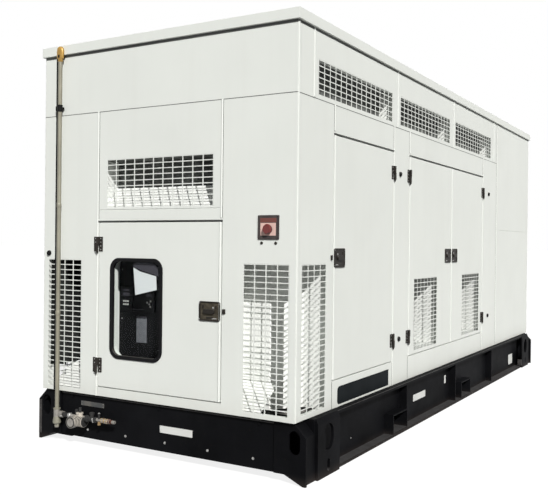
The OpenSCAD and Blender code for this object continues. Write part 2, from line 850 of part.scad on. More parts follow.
module control_door_glass() color([0.35, 0.4, 0.42, 0.4]) front_face()
  sheet(glass_in, glass_in + glass_t) window(seal_w);

module control_door_latch() color(fitting_color) front_face()
  latch(front_side_w + door_gap + latch_in, front_latch_h);

module control_door_hinges() color(fitting_color) front_face() front_hinge_heights()
  door_hinge(front_hinge_u, 0, -1);

// ---------------------------------------------------------------- side doors
module door_panel(u0, u1) rect(u0, u1, side_sill_h + door_gap, side_door_top - door_gap);

module single_door_panel() side_face() sheet(0, wall_t) door_panel(single_s + door_gap, post_s - door_gap);

module bay_door_panel(u, w, grille_u) side_face() {
  difference() {
    sheet(0, wall_t) door_panel(u, u + w);
    opening(grille_u, door_grille_low, door_grille_n, baffle_side, baffle_side);
  }
  baffle_box(grille_u, door_grille_low, door_grille_n, door_baffle_d);
}

module bay_door_grille(grille_u) side_face() sheet(0, grille_t)
  grille(grille_u, door_grille_low, door_grille_n);

module side_door() color(body_color) single_door_panel();

module side_door_latch() color(fitting_color) side_face()
  latch(single_s + door_gap + latch_in, side_latch_h);

module side_door_hinges() color(fitting_color) side_face() side_door_hinge_pair(post_s, -1);

module bay_door_front() color(body_color) bay_door_panel(front_leaf_u, front_leaf_w, front_leaf_grille_u);

module bay_door_front_grille() color(grille_color) bay_door_grille(front_leaf_grille_u);

module bay_door_front_latch() color(fitting_color) side_face()
  latch(front_leaf_u + front_leaf_w - leaf_latch_in - latch_w, side_latch_h);

module bay_door_front_hinges() color(fitting_color) side_face() side_door_hinge_pair(double_s, 1);

module bay_door_rear() color(body_color) bay_door_panel(rear_leaf_u, rear_leaf_w, rear_leaf_grille_u);

module bay_door_rear_grille() color(grille_color) bay_door_grille(rear_leaf_grille_u);

module bay_door_rear_latch() color(fitting_color) side_face()
  latch(rear_leaf_u + leaf_latch_in, side_latch_h);

module bay_door_rear_hinges() color(fitting_color) side_face() side_door_hinge_pair(rear_post_s, -1);

// ---------------------------------------------------------------- fittings
module buffer(u, v) translate([u, v, -buffer_l]) {
  cylinder(h = buffer_l, r = buffer_r);
  translate([0, 0, buffer_l - buffer_base_t]) cylinder(h = buffer_base_t, r = buffer_r + buffer_base_out);
}

module door_buffers() color([0.1, 0.1, 0.1]) {
  front_face() buffer(body_w - front_buffer_in, front_buffer_h);
  side_face() for (v = [hinge_high, hinge_low]) {
    buffer(post_s + mid_buffer_in, v);
    buffer(rear_post_s + rear_buffer_in, v);
  }
}

module stop_plate() color([0.55, 0.57, 0.56]) front_face()
  translate([stop_in, stop_h - stop_w / 2, -stop_t]) linear_extrude(stop_t)
    round_rect(0, stop_w, 0, stop_w, stop_corner_r);

module stop_button() color([0.75, 0.08, 0.06]) front_face() translate([stop_in + stop_w / 2, stop_h - stop_down, 0]) {
  translate([0, 0, -stop_t - stop_l]) cylinder(h = stop_l, r = stop_r * 0.6);
  translate([0, 0, -stop_t - stop_l - stop_cap_t]) cylinder(h = stop_cap_t, r1 = stop_r * 0.8, r2 = stop_r);
}

module vent_pipe() color([0.55, 0.53, 0.47])
  translate([pipe_x, pipe_y, tee_top]) cylinder(h = pipe_top - tee_top, r = pipe_r);

module pipe_clamp(z) difference() {
  union() {
    translate([pipe_x, pipe_y, z - clamp_h / 2]) cylinder(h = clamp_h, r = pipe_r + clamp_t);
    block(pipe_x, x_front, pipe_y - clamp_foot / 2, pipe_y + clamp_foot / 2,
          z - clamp_h / 2, z + clamp_h / 2);
  }
  translate([pipe_x, pipe_y, z - clamp_h]) cylinder(h = 2 * clamp_h, r = pipe_r);
}

module pipe_clamps() color([0.35, 0.3, 0.15]) for (v = clamp_heights) pipe_clamp(skid_h + v);

// The vent's foot: a tee with a drain plug, then a union, a regulator that hangs below the pipe with
// its filter body, and an outlet nipple.
module along_y(a, b, r) translate([pipe_x, pipe_y - b, train_z]) rotate([-90, 0, 0])
  cylinder(h = b - a, r = r);

module gas_train() color([0.5, 0.5, 0.48]) {
  bracket_y = pipe_y - regulator_at - filter_l / 2;
  translate([pipe_x, pipe_y, tee_bottom]) cylinder(h = tee_top - tee_bottom, r = tee_r);
  translate([pipe_x, pipe_y, tee_bottom - plug_l]) cylinder(h = plug_l, r = pipe_r);
  along_y(0, outlet_at, nipple_r);
  along_y(union_at, union_at + union_l, tee_r);
  translate([x_front - train_off, pipe_y - regulator_at, train_z - regulator_down]) rotate([0, 90, 0])
    cylinder(h = 2 * regulator_r, r = regulator_r);
  translate([0, 0, -filter_down]) along_y(regulator_at, regulator_at + filter_l,
                                            regulator_r - filter_slim);
  along_y(outlet_at - fitting_l, outlet_at, fitting_r);
  along_y(outlet_at - e, outlet_at + nipple_l, nipple_r);
  block(pipe_x, x_front + corner_back + cross_back, bracket_y - bracket_w / 2, bracket_y + bracket_w / 2,
        train_z - filter_down - bracket_w / 2, train_z - filter_down + bracket_w / 2);
}

rails();
end_crossmembers();
floor_beams();
deck();
fork_pockets();
corner_boxes();
lifting_plates();
front_panels();
front_header();
front_sill();
front_band();
front_grilles();
right_corner_panel();
right_mid_post();
right_rear_post();
right_headers();
right_sills();
right_sill_cover();
right_band();
right_grilles();
right_rear_panel();
left_wall();
left_doors();
left_grilles();
left_door_grilles();
left_hinges();
left_latches();
rear_wall();
roof_panel();
roof_trim();
corner_baffles();
grille_baffles();
control_cabinet();
drip_rails();
control_door();
control_door_seal();
control_door_glass();
control_door_latch();
control_door_hinges();
side_door();
side_door_latch();
side_door_hinges();
bay_door_front();
bay_door_front_grille();
bay_door_front_latch();
bay_door_front_hinges();
bay_door_rear();
bay_door_rear_grille();
bay_door_rear_latch();
bay_door_rear_hinges();
hinge_plates();
door_buffers();
stop_plate();
stop_button();
vent_pipe();
pipe_clamps();
gas_train();
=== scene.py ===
import json
import math

import bmesh
import bpy
from mathutils import Matrix, Vector


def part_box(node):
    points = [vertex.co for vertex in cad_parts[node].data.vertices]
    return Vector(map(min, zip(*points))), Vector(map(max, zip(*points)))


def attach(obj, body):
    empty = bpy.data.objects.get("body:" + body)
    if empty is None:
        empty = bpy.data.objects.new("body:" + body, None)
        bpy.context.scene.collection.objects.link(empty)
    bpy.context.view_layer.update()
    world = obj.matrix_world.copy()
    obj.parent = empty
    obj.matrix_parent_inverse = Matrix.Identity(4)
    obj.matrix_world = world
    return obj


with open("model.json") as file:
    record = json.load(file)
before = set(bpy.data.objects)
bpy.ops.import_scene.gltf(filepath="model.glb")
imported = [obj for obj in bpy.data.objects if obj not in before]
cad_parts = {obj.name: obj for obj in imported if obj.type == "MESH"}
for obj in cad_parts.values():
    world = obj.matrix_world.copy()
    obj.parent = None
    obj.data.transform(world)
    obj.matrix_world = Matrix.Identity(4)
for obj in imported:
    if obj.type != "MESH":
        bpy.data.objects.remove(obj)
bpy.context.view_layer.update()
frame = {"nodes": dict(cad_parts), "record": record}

# ---------------------------------------------------------------- measures from the frame
# X runs along the enclosure from the front end, Y across it from the service side. Places on a
# wall are given as u across it, v up from the skid's top and t inward from its outer face.
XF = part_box("front_band")[0][0]
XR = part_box("rear_wall")[1][0]
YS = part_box("front_band")[0][1]
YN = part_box("front_band")[1][1]
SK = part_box("front_sill")[0][2]
WALL_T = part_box("front_band")[1][0] - XF
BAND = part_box("front_band")[0][2] - SK
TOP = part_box("front_band")[1][2] - SK
BODY_W = YN - YS
BODY_L = XR - XF
FRONT_DOOR = [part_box("control_door")[0][1] - YS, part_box("control_door")[1][1] - YS]
SINGLE = [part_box("side_door")[0][0] - XF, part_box("side_door")[1][0] - XF]
LEAF1 = [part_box("bay_door_front")[0][0] - XF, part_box("bay_door_front")[1][0] - XF]
LEAF2 = [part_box("bay_door_rear")[0][0] - XF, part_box("bay_door_rear")[1][0] - XF]
SIDE_V = [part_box("side_door")[0][2] - SK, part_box("side_door")[1][2] - SK]
FRONT_V = [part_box("control_door")[0][2] - SK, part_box("control_door")[1][2] - SK]
REAR_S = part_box("right_rear_panel")[0][0] - XF
MID = [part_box("right_mid_post")[0][0] - XF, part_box("right_mid_post")[1][0] - XF]
REAR_POST = [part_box("right_rear_post")[0][0] - XF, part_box("right_rear_post")[1][0] - XF]
CROSS_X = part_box("end_crossmembers")[0][0]
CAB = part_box("control_cabinet")
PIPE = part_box("vent_pipe")
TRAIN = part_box("gas_train")
PIPE_X = (PIPE[0][0] + PIPE[1][0]) / 2
PIPE_Y = (PIPE[0][1] + PIPE[1][1]) / 2
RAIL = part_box("rails")


# ---------------------------------------------------------------- materials
def nodes_of(name):
    """A new material with an empty node tree and its output."""
    m = bpy.data.materials.new(name)
    m.use_nodes = True
    nt = m.node_tree
    nt.nodes.clear()
    out = nt.nodes.new("ShaderNodeOutputMaterial")
    return m, nt, out


def ramp(nt, src, stops):
    """A ramp through (place, value) stops, a value being a grey or a colour."""
    r = nt.nodes.new("ShaderNodeValToRGB")
    els = r.color_ramp.elements
    while len(els) < len(stops):
        els.new(0.5)
    for el, (p, v) in zip(els, stops):
        el.position = p
        el.color = (v, v, v, 1) if not isinstance(v, tuple) else (*v, 1)
    nt.links.new(src, r.inputs["Fac"])
    return r.outputs["Color"]


def noise(nt, vec, scale, detail=3.0, rough=0.55, stretch=None):
    """Fractal noise, drawn out along an axis where stretch is given."""
    if stretch:
        mp = nt.nodes.new("ShaderNodeMapping")
        mp.inputs["Scale"].default_value = stretch
        nt.links.new(vec, mp.inputs["Vector"])
        vec = mp.outputs["Vector"]
    n = nt.nodes.new("ShaderNodeTexNoise")
    n.inputs["Scale"].default_value = scale
    n.inputs["Detail"].default_value = detail
    n.inputs["Roughness"].default_value = rough
    nt.links.new(vec, n.inputs["Vector"])
    return n.outputs["Fac"]


def mixc(nt, fac, a, b):
    """Two colours mixed by a factor."""
    m = nt.nodes.new("ShaderNodeMix")
    m.data_type = "RGBA"
    for sock, val in (("Factor", fac), ("A", a), ("B", b)):
        kind = "VALUE" if sock == "Factor" else "RGBA"
        s = [i for i in m.inputs if i.name == sock and i.type == kind][0]
        if isinstance(val, (int, float)):
            s.default_value = val
        elif isinstance(val, tuple):
            s.default_value = (*val, 1)
        else:
            nt.links.new(val, s)
    return [o for o in m.outputs if o.type == "RGBA"][0]


def maths(nt, op, a, b=0.0, clamp=False):
    """One sum on values or sockets."""
    m = nt.nodes.new("ShaderNodeMath")
    m.operation = op
    m.use_clamp = clamp
    for i, v in enumerate((a, b)):
        if isinstance(v, (int, float)):
            m.inputs[i].default_value = v
        else:
            nt.links.new(v, m.inputs[i])
    return m.outputs[0]


ROUGH_SWING = 0.08       # how far a finish's roughness wanders either way
COAT_ROUGH = 0.12
GRAIN_DEPTH = 0.002


def surface(name, base, rough=0.45, metal=0.0, spec=0.5, mottle=0.03, mottle_scale=1.3, streak=0.0,
            dirt=0.0, dirt_color=(0.30, 0.27, 0.22), dust=0.0, dust_color=(0.34, 0.32, 0.29),
            grain=120.0, bump=0.05, bevel=0.0, speck=0.0, speck_color=(0.16, 0.09, 0.04), coat=0.0,
            low=None, low_color=None, dust_below=None):
    """A procedural finish: mottled colour with streaks, dirt, specks and dust, and a fine grain.

    low is (from height, to height, strength) for dirt that thickens downward, and dust lies on
    faces that look up, under the height dust_below where that is given."""
    m, nt, out = nodes_of(name)
    tc = nt.nodes.new("ShaderNodeTexCoord")
    vec = tc.outputs["Object"]
    bsdf = nt.nodes.new("ShaderNodeBsdfPrincipled")
    dark = tuple(c * (1 - 2.2 * mottle) for c in base)
    lite = tuple(min(1.0, c * (1 + mottle)) for c in base)
    n1 = noise(nt, vec, mottle_scale, 4.0)
    col = mixc(nt, ramp(nt, n1, [(0.3, 0.0), (0.7, 1.0)]), dark, lite)
    if streak:
        n2 = noise(nt, vec, 9.0, 3.0, 0.6, (1.0, 1.0, 0.09))
        fac = maths(nt, "MULTIPLY", ramp(nt, n2, [(0.5, 0.0), (0.78, 1.0)]), streak)
        col = mixc(nt, fac, col, dirt_color)
    if low:
        sep = nt.nodes.new("ShaderNodeSeparateXYZ")
        nt.links.new(vec, sep.inputs[0])
        g = nt.nodes.new("ShaderNodeMapRange")
        g.inputs["From Min"].default_value = low[1]
        g.inputs["From Max"].default_value = low[0]
        nt.links.new(sep.outputs["Z"], g.inputs["Value"])
        n3 = noise(nt, vec, 5.0, 5.0, 0.7)
        f = maths(nt, "MULTIPLY", maths(nt, "POWER", g.outputs[0], 2.0), n3)
        col = mixc(nt, maths(nt, "MULTIPLY", f, low[2], True), col, low_color or dirt_color)
    if dirt:
        n4 = noise(nt, vec, 3.1, 8.0, 0.72)
        fac = maths(nt, "MULTIPLY", ramp(nt, n4, [(0.55, 0.0), (0.75, 1.0)]), dirt)
        col = mixc(nt, fac, col, dirt_color)
    if speck:
        n5 = noise(nt, vec, 38.0, 6.0, 0.75)
        fac = maths(nt, "MULTIPLY", ramp(nt, n5, [(0.62, 0.0), (0.70, 1.0)]), speck)
        col = mixc(nt, fac, col, speck_color)
    if dust:
        geo = nt.nodes.new("ShaderNodeNewGeometry")
        sepn = nt.nodes.new("ShaderNodeSeparateXYZ")
        nt.links.new(geo.outputs["Normal"], sepn.inputs[0])
        n6 = noise(nt, vec, 14.0, 5.0, 0.65)
        up = maths(nt, "MULTIPLY", maths(nt, "MAXIMUM", sepn.outputs["Z"], 0.0), dust, True)
        if dust_below:
            seph = nt.nodes.new("ShaderNodeSeparateXYZ")
            nt.links.new(vec, seph.inputs[0])
            up = maths(nt, "MULTIPLY", up, maths(nt, "LESS_THAN", seph.outputs["Z"], dust_below))
        col = mixc(nt, maths(nt, "MULTIPLY", up, maths(nt, "ADD", n6, 0.3), True), col, dust_color)
    nt.links.new(col, bsdf.inputs["Base Color"])
    fine = noise(nt, vec, grain, 2.0)
    r = nt.nodes.new("ShaderNodeMapRange")
    r.inputs["To Min"].default_value = max(0.02, rough - ROUGH_SWING)
    r.inputs["To Max"].default_value = min(1.0, rough + ROUGH_SWING)
    nt.links.new(noise(nt, vec, 6.0, 4.0), r.inputs["Value"])
    nt.links.new(r.outputs[0], bsdf.inputs["Roughness"])
    bsdf.inputs["Metallic"].default_value = metal
    bsdf.inputs["Specular IOR Level"].default_value = spec
    if coat:
        bsdf.inputs["Coat Weight"].default_value = coat
        bsdf.inputs["Coat Roughness"].default_value = COAT_ROUGH
    normal = None
    if bevel:
        bv = nt.nodes.new("ShaderNodeBevel")
        bv.samples = 4
        bv.inputs["Radius"].default_value = bevel
        normal = bv.outputs["Normal"]
    if bump:
        bp = nt.nodes.new("ShaderNodeBump")
        bp.inputs["Strength"].default_value = bump
        bp.inputs["Distance"].default_value = GRAIN_DEPTH
        nt.links.new(fine, bp.inputs["Height"])
        if normal is not None:
            nt.links.new(normal, bp.inputs["Normal"])
        normal = bp.outputs["Normal"]
    if normal is not None:
        nt.links.new(normal, bsdf.inputs["Normal"])
    nt.links.new(bsdf.outputs[0], out.inputs["Surface"])
    return m


WHITE = (0.775, 0.80, 0.765)
M = {}
M["body"] = surface("body_paint", WHITE, 0.5, spec=0.2, mottle=0.014, streak=0.05,
                    dirt_color=(0.52, 0.51, 0.46), grain=260.0, bump=0.04, bevel=0.004,
                    low=(SK, SK + 0.22, 0.5))
M["grille"] = surface("grille_paint", (0.74, 0.765, 0.73), 0.45, mottle=0.02, streak=0.06,
                      dirt_color=(0.45, 0.44, 0.40), grain=220.0, bump=0.04)
M["baffle"] = surface("baffle_sheet", (0.86, 0.875, 0.85), 0.5, spec=0.2, mottle=0.02, streak=0.05,
                      dirt_color=(0.50, 0.50, 0.46), grain=200.0, bump=0.04,
                      low=(SK, SK + 0.5, 0.4))
M["skid"] = surface("skid_paint", (0.0052, 0.0054, 0.0064), 0.6, spec=0.03, mottle=0.25,
                    mottle_scale=2.2, streak=0.06, dirt=0.05, dirt_color=(0.018, 0.018, 0.018),
                    dust=0.9, dust_color=(0.070, 0.069, 0.070), grain=90.0, bump=0.08, bevel=0.003,
                    speck=0.04, low=(0.0, 0.085, 0.9), low_color=(0.060, 0.050, 0.045),
                    dust_below=0.12)
M["deck"] = surface("deck_plate", (0.05, 0.052, 0.055), 0.6, mottle=0.15, dirt=0.3, dust=0.6,
                    bump=0.08)
M["fitting"] = surface("dark_fittings", (0.030, 0.027, 0.024), 0.45, spec=0.08, mottle=0.12,
                       speck=0.25, speck_color=(0.10, 0.07, 0.04), dust=0.3, grain=180.0,
                       bump=0.10, bevel=0.0015)
M["rubber"] = surface("black_rubber", (0.010, 0.010, 0.011), 0.62, spec=0.06, mottle=0.1,
                      dust=0.25, grain=160.0, bump=0.08)
M["cabinet"] = surface("cabinet_black", (0.006, 0.006, 0.007), 0.55, spec=0.10, mottle=0.1,
                       dust=0.05, grain=300.0, bump=0.15)
M["plate"] = surface("stop_plate", (0.050, 0.042, 0.043), 0.5, spec=0.12, mottle=0.15, streak=0.15,
                     bump=0.05, bevel=0.001)
M["pale"] = surface("pale_enamel", (0.72, 0.48, 0.43), 0.4, mottle=0.06, streak=0.2,
                    dirt_color=(0.35, 0.30, 0.26), bump=0.04)
M["red"] = surface("stop_red", (0.13, 0.012, 0.011), 0.3, mottle=0.2, dirt=0.2,
                   dirt_color=(0.05, 0.01, 0.008), coat=0.15, bump=0.03)
M["pipe"] = surface("pipe_metal", (0.26, 0.25, 0.195), 0.5, metal=0.15, mottle=0.10,
                    mottle_scale=4.0, streak=0.35, dirt_color=(0.20, 0.16, 0.10), speck=0.2,
                    grain=200.0, bump=0.10)
# Lighter strips on the skid: wear, and painted highlights where its edges catch the light.
M["wear_and_sheen"] = surface("edge_wear_and_highlight", (0.050, 0.047, 0.046), 0.6, spec=0.2, mottle=0.3,
                    mottle_scale=16.0, dirt=0.4, dirt_color=(0.02, 0.019, 0.018), speck=0.4,
                    speck_color=(0.10, 0.04, 0.015), bump=0.1)
M["clamp"] = surface("clamp_black", (0.010, 0.010, 0.010), 0.5, spec=0.06, mottle=0.15, speck=0.3,
                     bump=0.1)
M["bronze"] = surface("latch_bronze", (0.075, 0.065, 0.048), 0.45, spec=0.08, metal=0.1,
                      mottle=0.22, mottle_scale=24.0, dirt=0.5, dirt_color=(0.025, 0.021, 0.016),
                      speck=0.25, grain=200.0, bump=0.12)
M["strap"] = surface("strap_metal", (0.46, 0.27, 0.06), 0.42, metal=0.35, mottle=0.15,
                     mottle_scale=12.0, speck=0.35, grain=160.0, bump=0.12)
M["gas"] = surface("gas_metal", (0.30, 0.285, 0.26), 0.45, metal=0.3, mottle=0.14,
                   mottle_scale=14.0, dirt=0.35, dirt_color=(0.14, 0.12, 0.10), speck=0.3,
                   grain=260.0, bump=0.2, bevel=0.001)
M["brass"] = surface("brass_fittings", (0.34, 0.23, 0.11), 0.42, metal=0.4, mottle=0.12,
                     mottle_scale=18.0, dirt=0.4, dirt_color=(0.14, 0.09, 0.05), speck=0.4,
                     grain=240.0, bump=0.12)
M["zinc"] = surface("zinc_steel", (0.34, 0.34, 0.33), 0.42, metal=0.4, mottle=0.10,
                    mottle_scale=20.0, speck=0.2, grain=240.0, bump=0.12)
M["dark_steel"] = surface("dark_steel", (0.035, 0.035, 0.035), 0.5, spec=0.08, mottle=0.1,
                          mottle_scale=20.0, speck=0.25, bump=0.1)
M["card"] = surface("bare_plate", (0.70, 0.71, 0.69), 0.5, mottle=0.05, streak=0.25,
                    dirt_color=(0.30, 0.28, 0.25), bump=0.04)
M["card_grey"] = surface("bare_plate_grey", (0.07, 0.073, 0.076), 0.5, spec=0.15, mottle=0.12,
                         streak=0.3, dirt=0.3, bump=0.05)
M["trim"] = surface("trim_line", (0.035, 0.037, 0.037), 0.6, mottle=0.1, bump=0.05)
# Gasket grey, which also stands in for the roof trim's shadow: partly painted shade.
M["gasket_and_shade"] = surface("gasket_and_painted_shade", (0.15, 0.155, 0.15), 0.7, spec=0.2, mottle=0.15, bump=0.05)
M["drip"] = surface("drip_grey", (0.055, 0.058, 0.056), 0.6, spec=0.2, mottle=0.15, dust=0.2,
                    bump=0.06)
M["slate"] = surface("slate_sheet", (0.010, 0.013, 0.015), 0.6, spec=0.04, mottle=0.2, bump=0.05)
# Grey sheet for the backs and ceilings of grille boxes, where they lie in shade: painted shade.
M["lining"] = surface("sound_lining", (0.15, 0.156, 0.15), 0.9, spec=0.1, mottle=0.25,
                      mottle_scale=5.0, grain=70.0, bump=0.5)
# Dark sheet for the far corner's grille box, where it lies in shade: painted shade.
M["shade"] = surface("shaded_lining", (0.030, 0.032, 0.030), 0.9, spec=0.05, mottle=0.25,
                     mottle_scale=5.0, grain=70.0, bump=0.5)
M["band"] = surface("stop_band", (0.15, 0.055, 0.047), 0.5, spec=0.25, mottle=0.2, bump=0.04)
M["grey"] = surface("panel_grey", (0.16, 0.165, 0.185), 0.5, spec=0.2, mottle=0.12,
                    mottle_scale=30.0, bump=0.05)
M["dim"] = surface("panel_dim", (0.055, 0.052, 0.065), 0.5, spec=0.2, mottle=0.15,
                   mottle_scale=30.0, bump=0.05)
M["rust"] = surface("rusty_end", (0.13, 0.050, 0.030), 0.7, spec=0.2, mottle=0.3,
                    mottle_scale=25.0, speck=0.4, bump=0.3)
M["rib"] = surface("filter_rib", (0.50, 0.46, 0.40), 0.45, spec=0.4, mottle=0.2, mottle_scale=30.0,
                   speck=0.25, bump=0.15)
M["paper"] = surface("paper", (0.78, 0.80, 0.82), 0.8, mottle=0.02, bump=0.08, grain=60.0)


def glass_material():
    """Clear glass with a faint reflection, which lets the light through."""
    m, nt, out = nodes_of("window_glass")
    tc = nt.nodes.new("ShaderNodeTexCoord")
    clear = nt.nodes.new("ShaderNodeBsdfTransparent")
    clear.inputs["Color"].default_value = (0.97, 0.98, 0.975, 1)
    gloss = nt.nodes.new("ShaderNodeBsdfGlossy")
    gloss.inputs["Color"].default_value = (0.5, 0.53, 0.56, 1)
    n = noise(nt, tc.outputs["Object"], 7.0, 5.0, 0.7)
    r = nt.nodes.new("ShaderNodeMapRange")
    r.inputs["To Min"].default_value = 0.02
    r.inputs["To Max"].default_value = 0.12
    nt.links.new(n, r.inputs["Value"])
    nt.links.new(r.outputs[0], gloss.inputs["Roughness"])
    fr = nt.nodes.new("ShaderNodeFresnel")
    fr.inputs["IOR"].default_value = 1.12
    mix = nt.nodes.new("ShaderNodeMixShader")
    nt.links.new(fr.outputs[0], mix.inputs[0])
    nt.links.new(clear.outputs[0], mix.inputs[1])
    nt.links.new(gloss.outputs[0], mix.inputs[2])
    lp = nt.nodes.new("ShaderNodeLightPath")
    last = nt.nodes.new("ShaderNodeMixShader")
    nt.links.new(lp.outputs["Is Shadow Ray"], last.inputs[0])
    nt.links.new(mix.outputs[0], last.inputs[1])
    nt.links.new(clear.outputs[0], last.inputs[2])
    nt.links.new(last.outputs[0], out.inputs["Surface"])
    return m


M["glass"] = glass_material()

# The look of each of the record's material slots, and the two nodes whose look differs from it.
SLOT_LOOK = {
    "body_paint": "body", "grille_paint": "grille", "baffle_sheet": "baffle",
    "skid_paint": "skid", "deck_plate": "deck", "dark_fittings": "fitting",
    "black_rubber": "rubber", "window_glass": "glass", "cabinet_black": "cabinet",
    "stop_plate": "plate", "stop_red": "red", "pipe_metal": "pipe", "strap_metal": "clamp",
    "gas_metal": "gas",
}
for part in frame["record"]["subparts"]:
    obj = frame["nodes"].get(part["node"])
    look = M[SLOT_LOOK[part["material_slot"]]]
    if obj is None:
        continue
    if not obj.material_slots:
        obj.data.materials.append(look)
    for ms in obj.material_slots:
        ms.material = look

for node, look in (("right_sill_cover", "slate"), ("drip_rails", "drip")):
    for ms in frame["nodes"][node].material_slots:
        ms.material = M[look]

# ---------------------------------------------------------------- piece helpers
SHARP_ANGLE = math.radians(35)
BED = 0.0004        # how far a thin piece sinks into what carries it


def add_piece(name, bm, look, body="enclosure", smooth=False):
    """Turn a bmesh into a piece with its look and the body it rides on."""
    bmesh.ops.recalc_face_normals(bm, faces=bm.faces)
    me = bpy.data.meshes.new(name)
    bm.to_mesh(me)
    bm.free()
    if smooth:
        for p in me.polygons:
            p.use_smooth = True
    me.materials.append(M[look])
    ob = bpy.data.objects.new(name, me)
    bpy.context.scene.collection.objects.link(ob)
    if smooth:
        me.set_sharp_from_angle(angle=SHARP_ANGLE)
    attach(ob, body)


# A face frame: u across, v up from the skid (z from the ground on "cross"), t inward.
FACES = {
    "front": lambda u, v, t: (XF + t, YS + u, SK + v),
    "side": lambda u, v, t: (XF + u, YS + t, SK + v),
    "left": lambda u, v, t: (XF + u, YN - t, SK + v),
    "rear": lambda u, v, t: (XR - t, YS + u, SK + v),
    "cross": lambda u, z, t: (CROSS_X + t, YS + u, z),
    "cab": lambda u, v, t: (CAB[0][0] + t, YS + u, SK + v),
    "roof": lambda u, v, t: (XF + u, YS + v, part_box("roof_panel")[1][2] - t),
}
OUT = {"front": (-1, 0, 0), "side": (0, -1, 0), "left": (0, 1, 0), "rear": (1, 0, 0),
       "cross": (-1, 0, 0), "cab": (-1, 0, 0)}
UP, DOWN = (0, 0, 1), (0, 0, -1)


def skin(bm, loops, cap=True):
    """Faces between neighbouring loops of vertices, and over both ends."""
    n = len(loops[0])
    for a, b in zip(loops, loops[1:]):
        for i in range(n):
            k = (i + 1) % n
            bm.faces.new((a[i], a[k], b[k], b[i]))
    if cap:
        bm.faces.new(loops[0][::-1])
        bm.faces.new(loops[-1])


def slab(bm, face, u0, u1, v0, v1, t0, t1, bevel=0.0):
    """A box in a face frame, its edges bevelled."""
    f = FACES[face]
    vs = [bm.verts.new(f(u, v, t)) for u in (u0, u1) for v in (v0, v1) for t in (t0, t1)]
    quads = [(0, 1, 3, 2), (4, 6, 7, 5), (0, 4, 5, 1), (2, 3, 7, 6), (0, 2, 6, 4), (1, 5, 7, 3)]
    fs = [bm.faces.new([vs[i] for i in q]) for q in quads]
    if bevel:
        edges = list({e for fc in fs for e in fc.edges})
        bmesh.ops.bevel(bm, geom=edges, offset=bevel, segments=2, affect="EDGES", profile=0.5)


def prism(bm, face, outline, v0, v1):
    """An outline of (across, outward) points carried from v0 to v1."""
    f = FACES[face]
    skin(bm, [[bm.verts.new(f(u, v, -out)) for u, out in outline] for v in (v0, v1)])


def lathe(bm, centre, axis, rings, segs=20, cap=True, turn=0.0):
    """Rings of (distance along the axis, radius) about a centre."""
    centre, axis = Vector(centre), Vector(axis).normalized()
    q = Vector(UP).rotation_difference(axis).to_matrix()
    angles = [turn + 2 * math.pi * i / segs for i in range(segs)]
    skin(bm, [[bm.verts.new(centre + q @ Vector((r * math.cos(a), r * math.sin(a), d)))
               for a in angles] for d, r in rings], cap)


def hexagon(bm, centre, axis, r, h, turn=0.0):
    """A hexagon head with a washer and a chamfered top."""
    lathe(bm, centre, axis, [(0, r * 1.35), (h * 0.22, r * 1.35), (h * 0.22, r * 0.9)], 18)
    lathe(bm, centre, axis, [(h * 0.2, r), (h * 0.85, r), (h, r * 0.82)], 6, turn=turn)


def hex_nut(bm, centre, axis, r, h, chamfer=0.002):
    """A hexagon nut with chamfered ends, carried along an axis from its centre."""
    lathe(bm, centre, axis, [(0, 0.9 * r), (chamfer, r), (h - chamfer, r), (h, 0.9 * r)], 6)


def heads(name, face, spots, r, h, look):
    """Bolt heads, each turned a little further than the last."""
    bm = bmesh.new()
    for i, (u, v) in enumerate(spots):
        hexagon(bm, FACES[face](u, v, 0.0), OUT[face], r, h, 0.4 * i)
    add_piece(name, bm, look)


def domes(name, face, spots, r, h, look, body="enclosure", t=0.0):
    """Pan-head screws with a small driver recess."""
    rings = [(0, r), (h * 0.45, r), (h * 0.85, r * 0.72), (h, r * 0.4), (h * 0.6, r * 0.34)]
    turned(name, look, [(FACES[face](u, v, t), OUT[face], rings, 14) for u, v in spots], body)


def turned(name, look, rows, body="enclosure"):
    """One smooth piece of lathe shapes: rows of lathe's own values."""
    bm = bmesh.new()
    for row in rows:
        lathe(bm, *row)
    add_piece(name, bm, look, body, smooth=True)


def boxes(name, look, rows, body="enclosure"):
    """One piece of boxes: rows of slab's own values."""
    bm = bmesh.new()
    for row in rows:
        slab(bm, *row)
    add_piece(name, bm, look, body)


# ---------------------------------------------------------------- folded panel edges
BEAD = ((0.0, 0.0), (0.013, 0.0055), (0.017, 0.0050), (0.019, 0.0))   # (across, outward)
DOOR_GAP = 0.008        # from a door's edge to the fixed edge beside it
HEAD_GAP = 0.03         # from a door's top to where the header's edges start
FRONT_EDGES = (FRONT_DOOR[0] - DOOR_GAP, FRONT_DOOR[1] + DOOR_GAP)
SIDE_EDGE = SINGLE[0] - DOOR_GAP
CORNER_BEAD = 0.002     # from the corner to its bead
CORNER_BEAD_DOWN = 0.014
REAR_BEADS = (0.60, 1.20, 1.80)


def beads(name, face, runs, body="enclosure"):
    """Folded panel edges that stand a little proud: runs of (u, v0, v1) upright."""
    bm = bmesh.new()
    for u, v0, v1 in runs:
        prism(bm, face, [(u + across, out) for across, out in BEAD], v0, v1)
    add_piece(name, bm, "body", body)


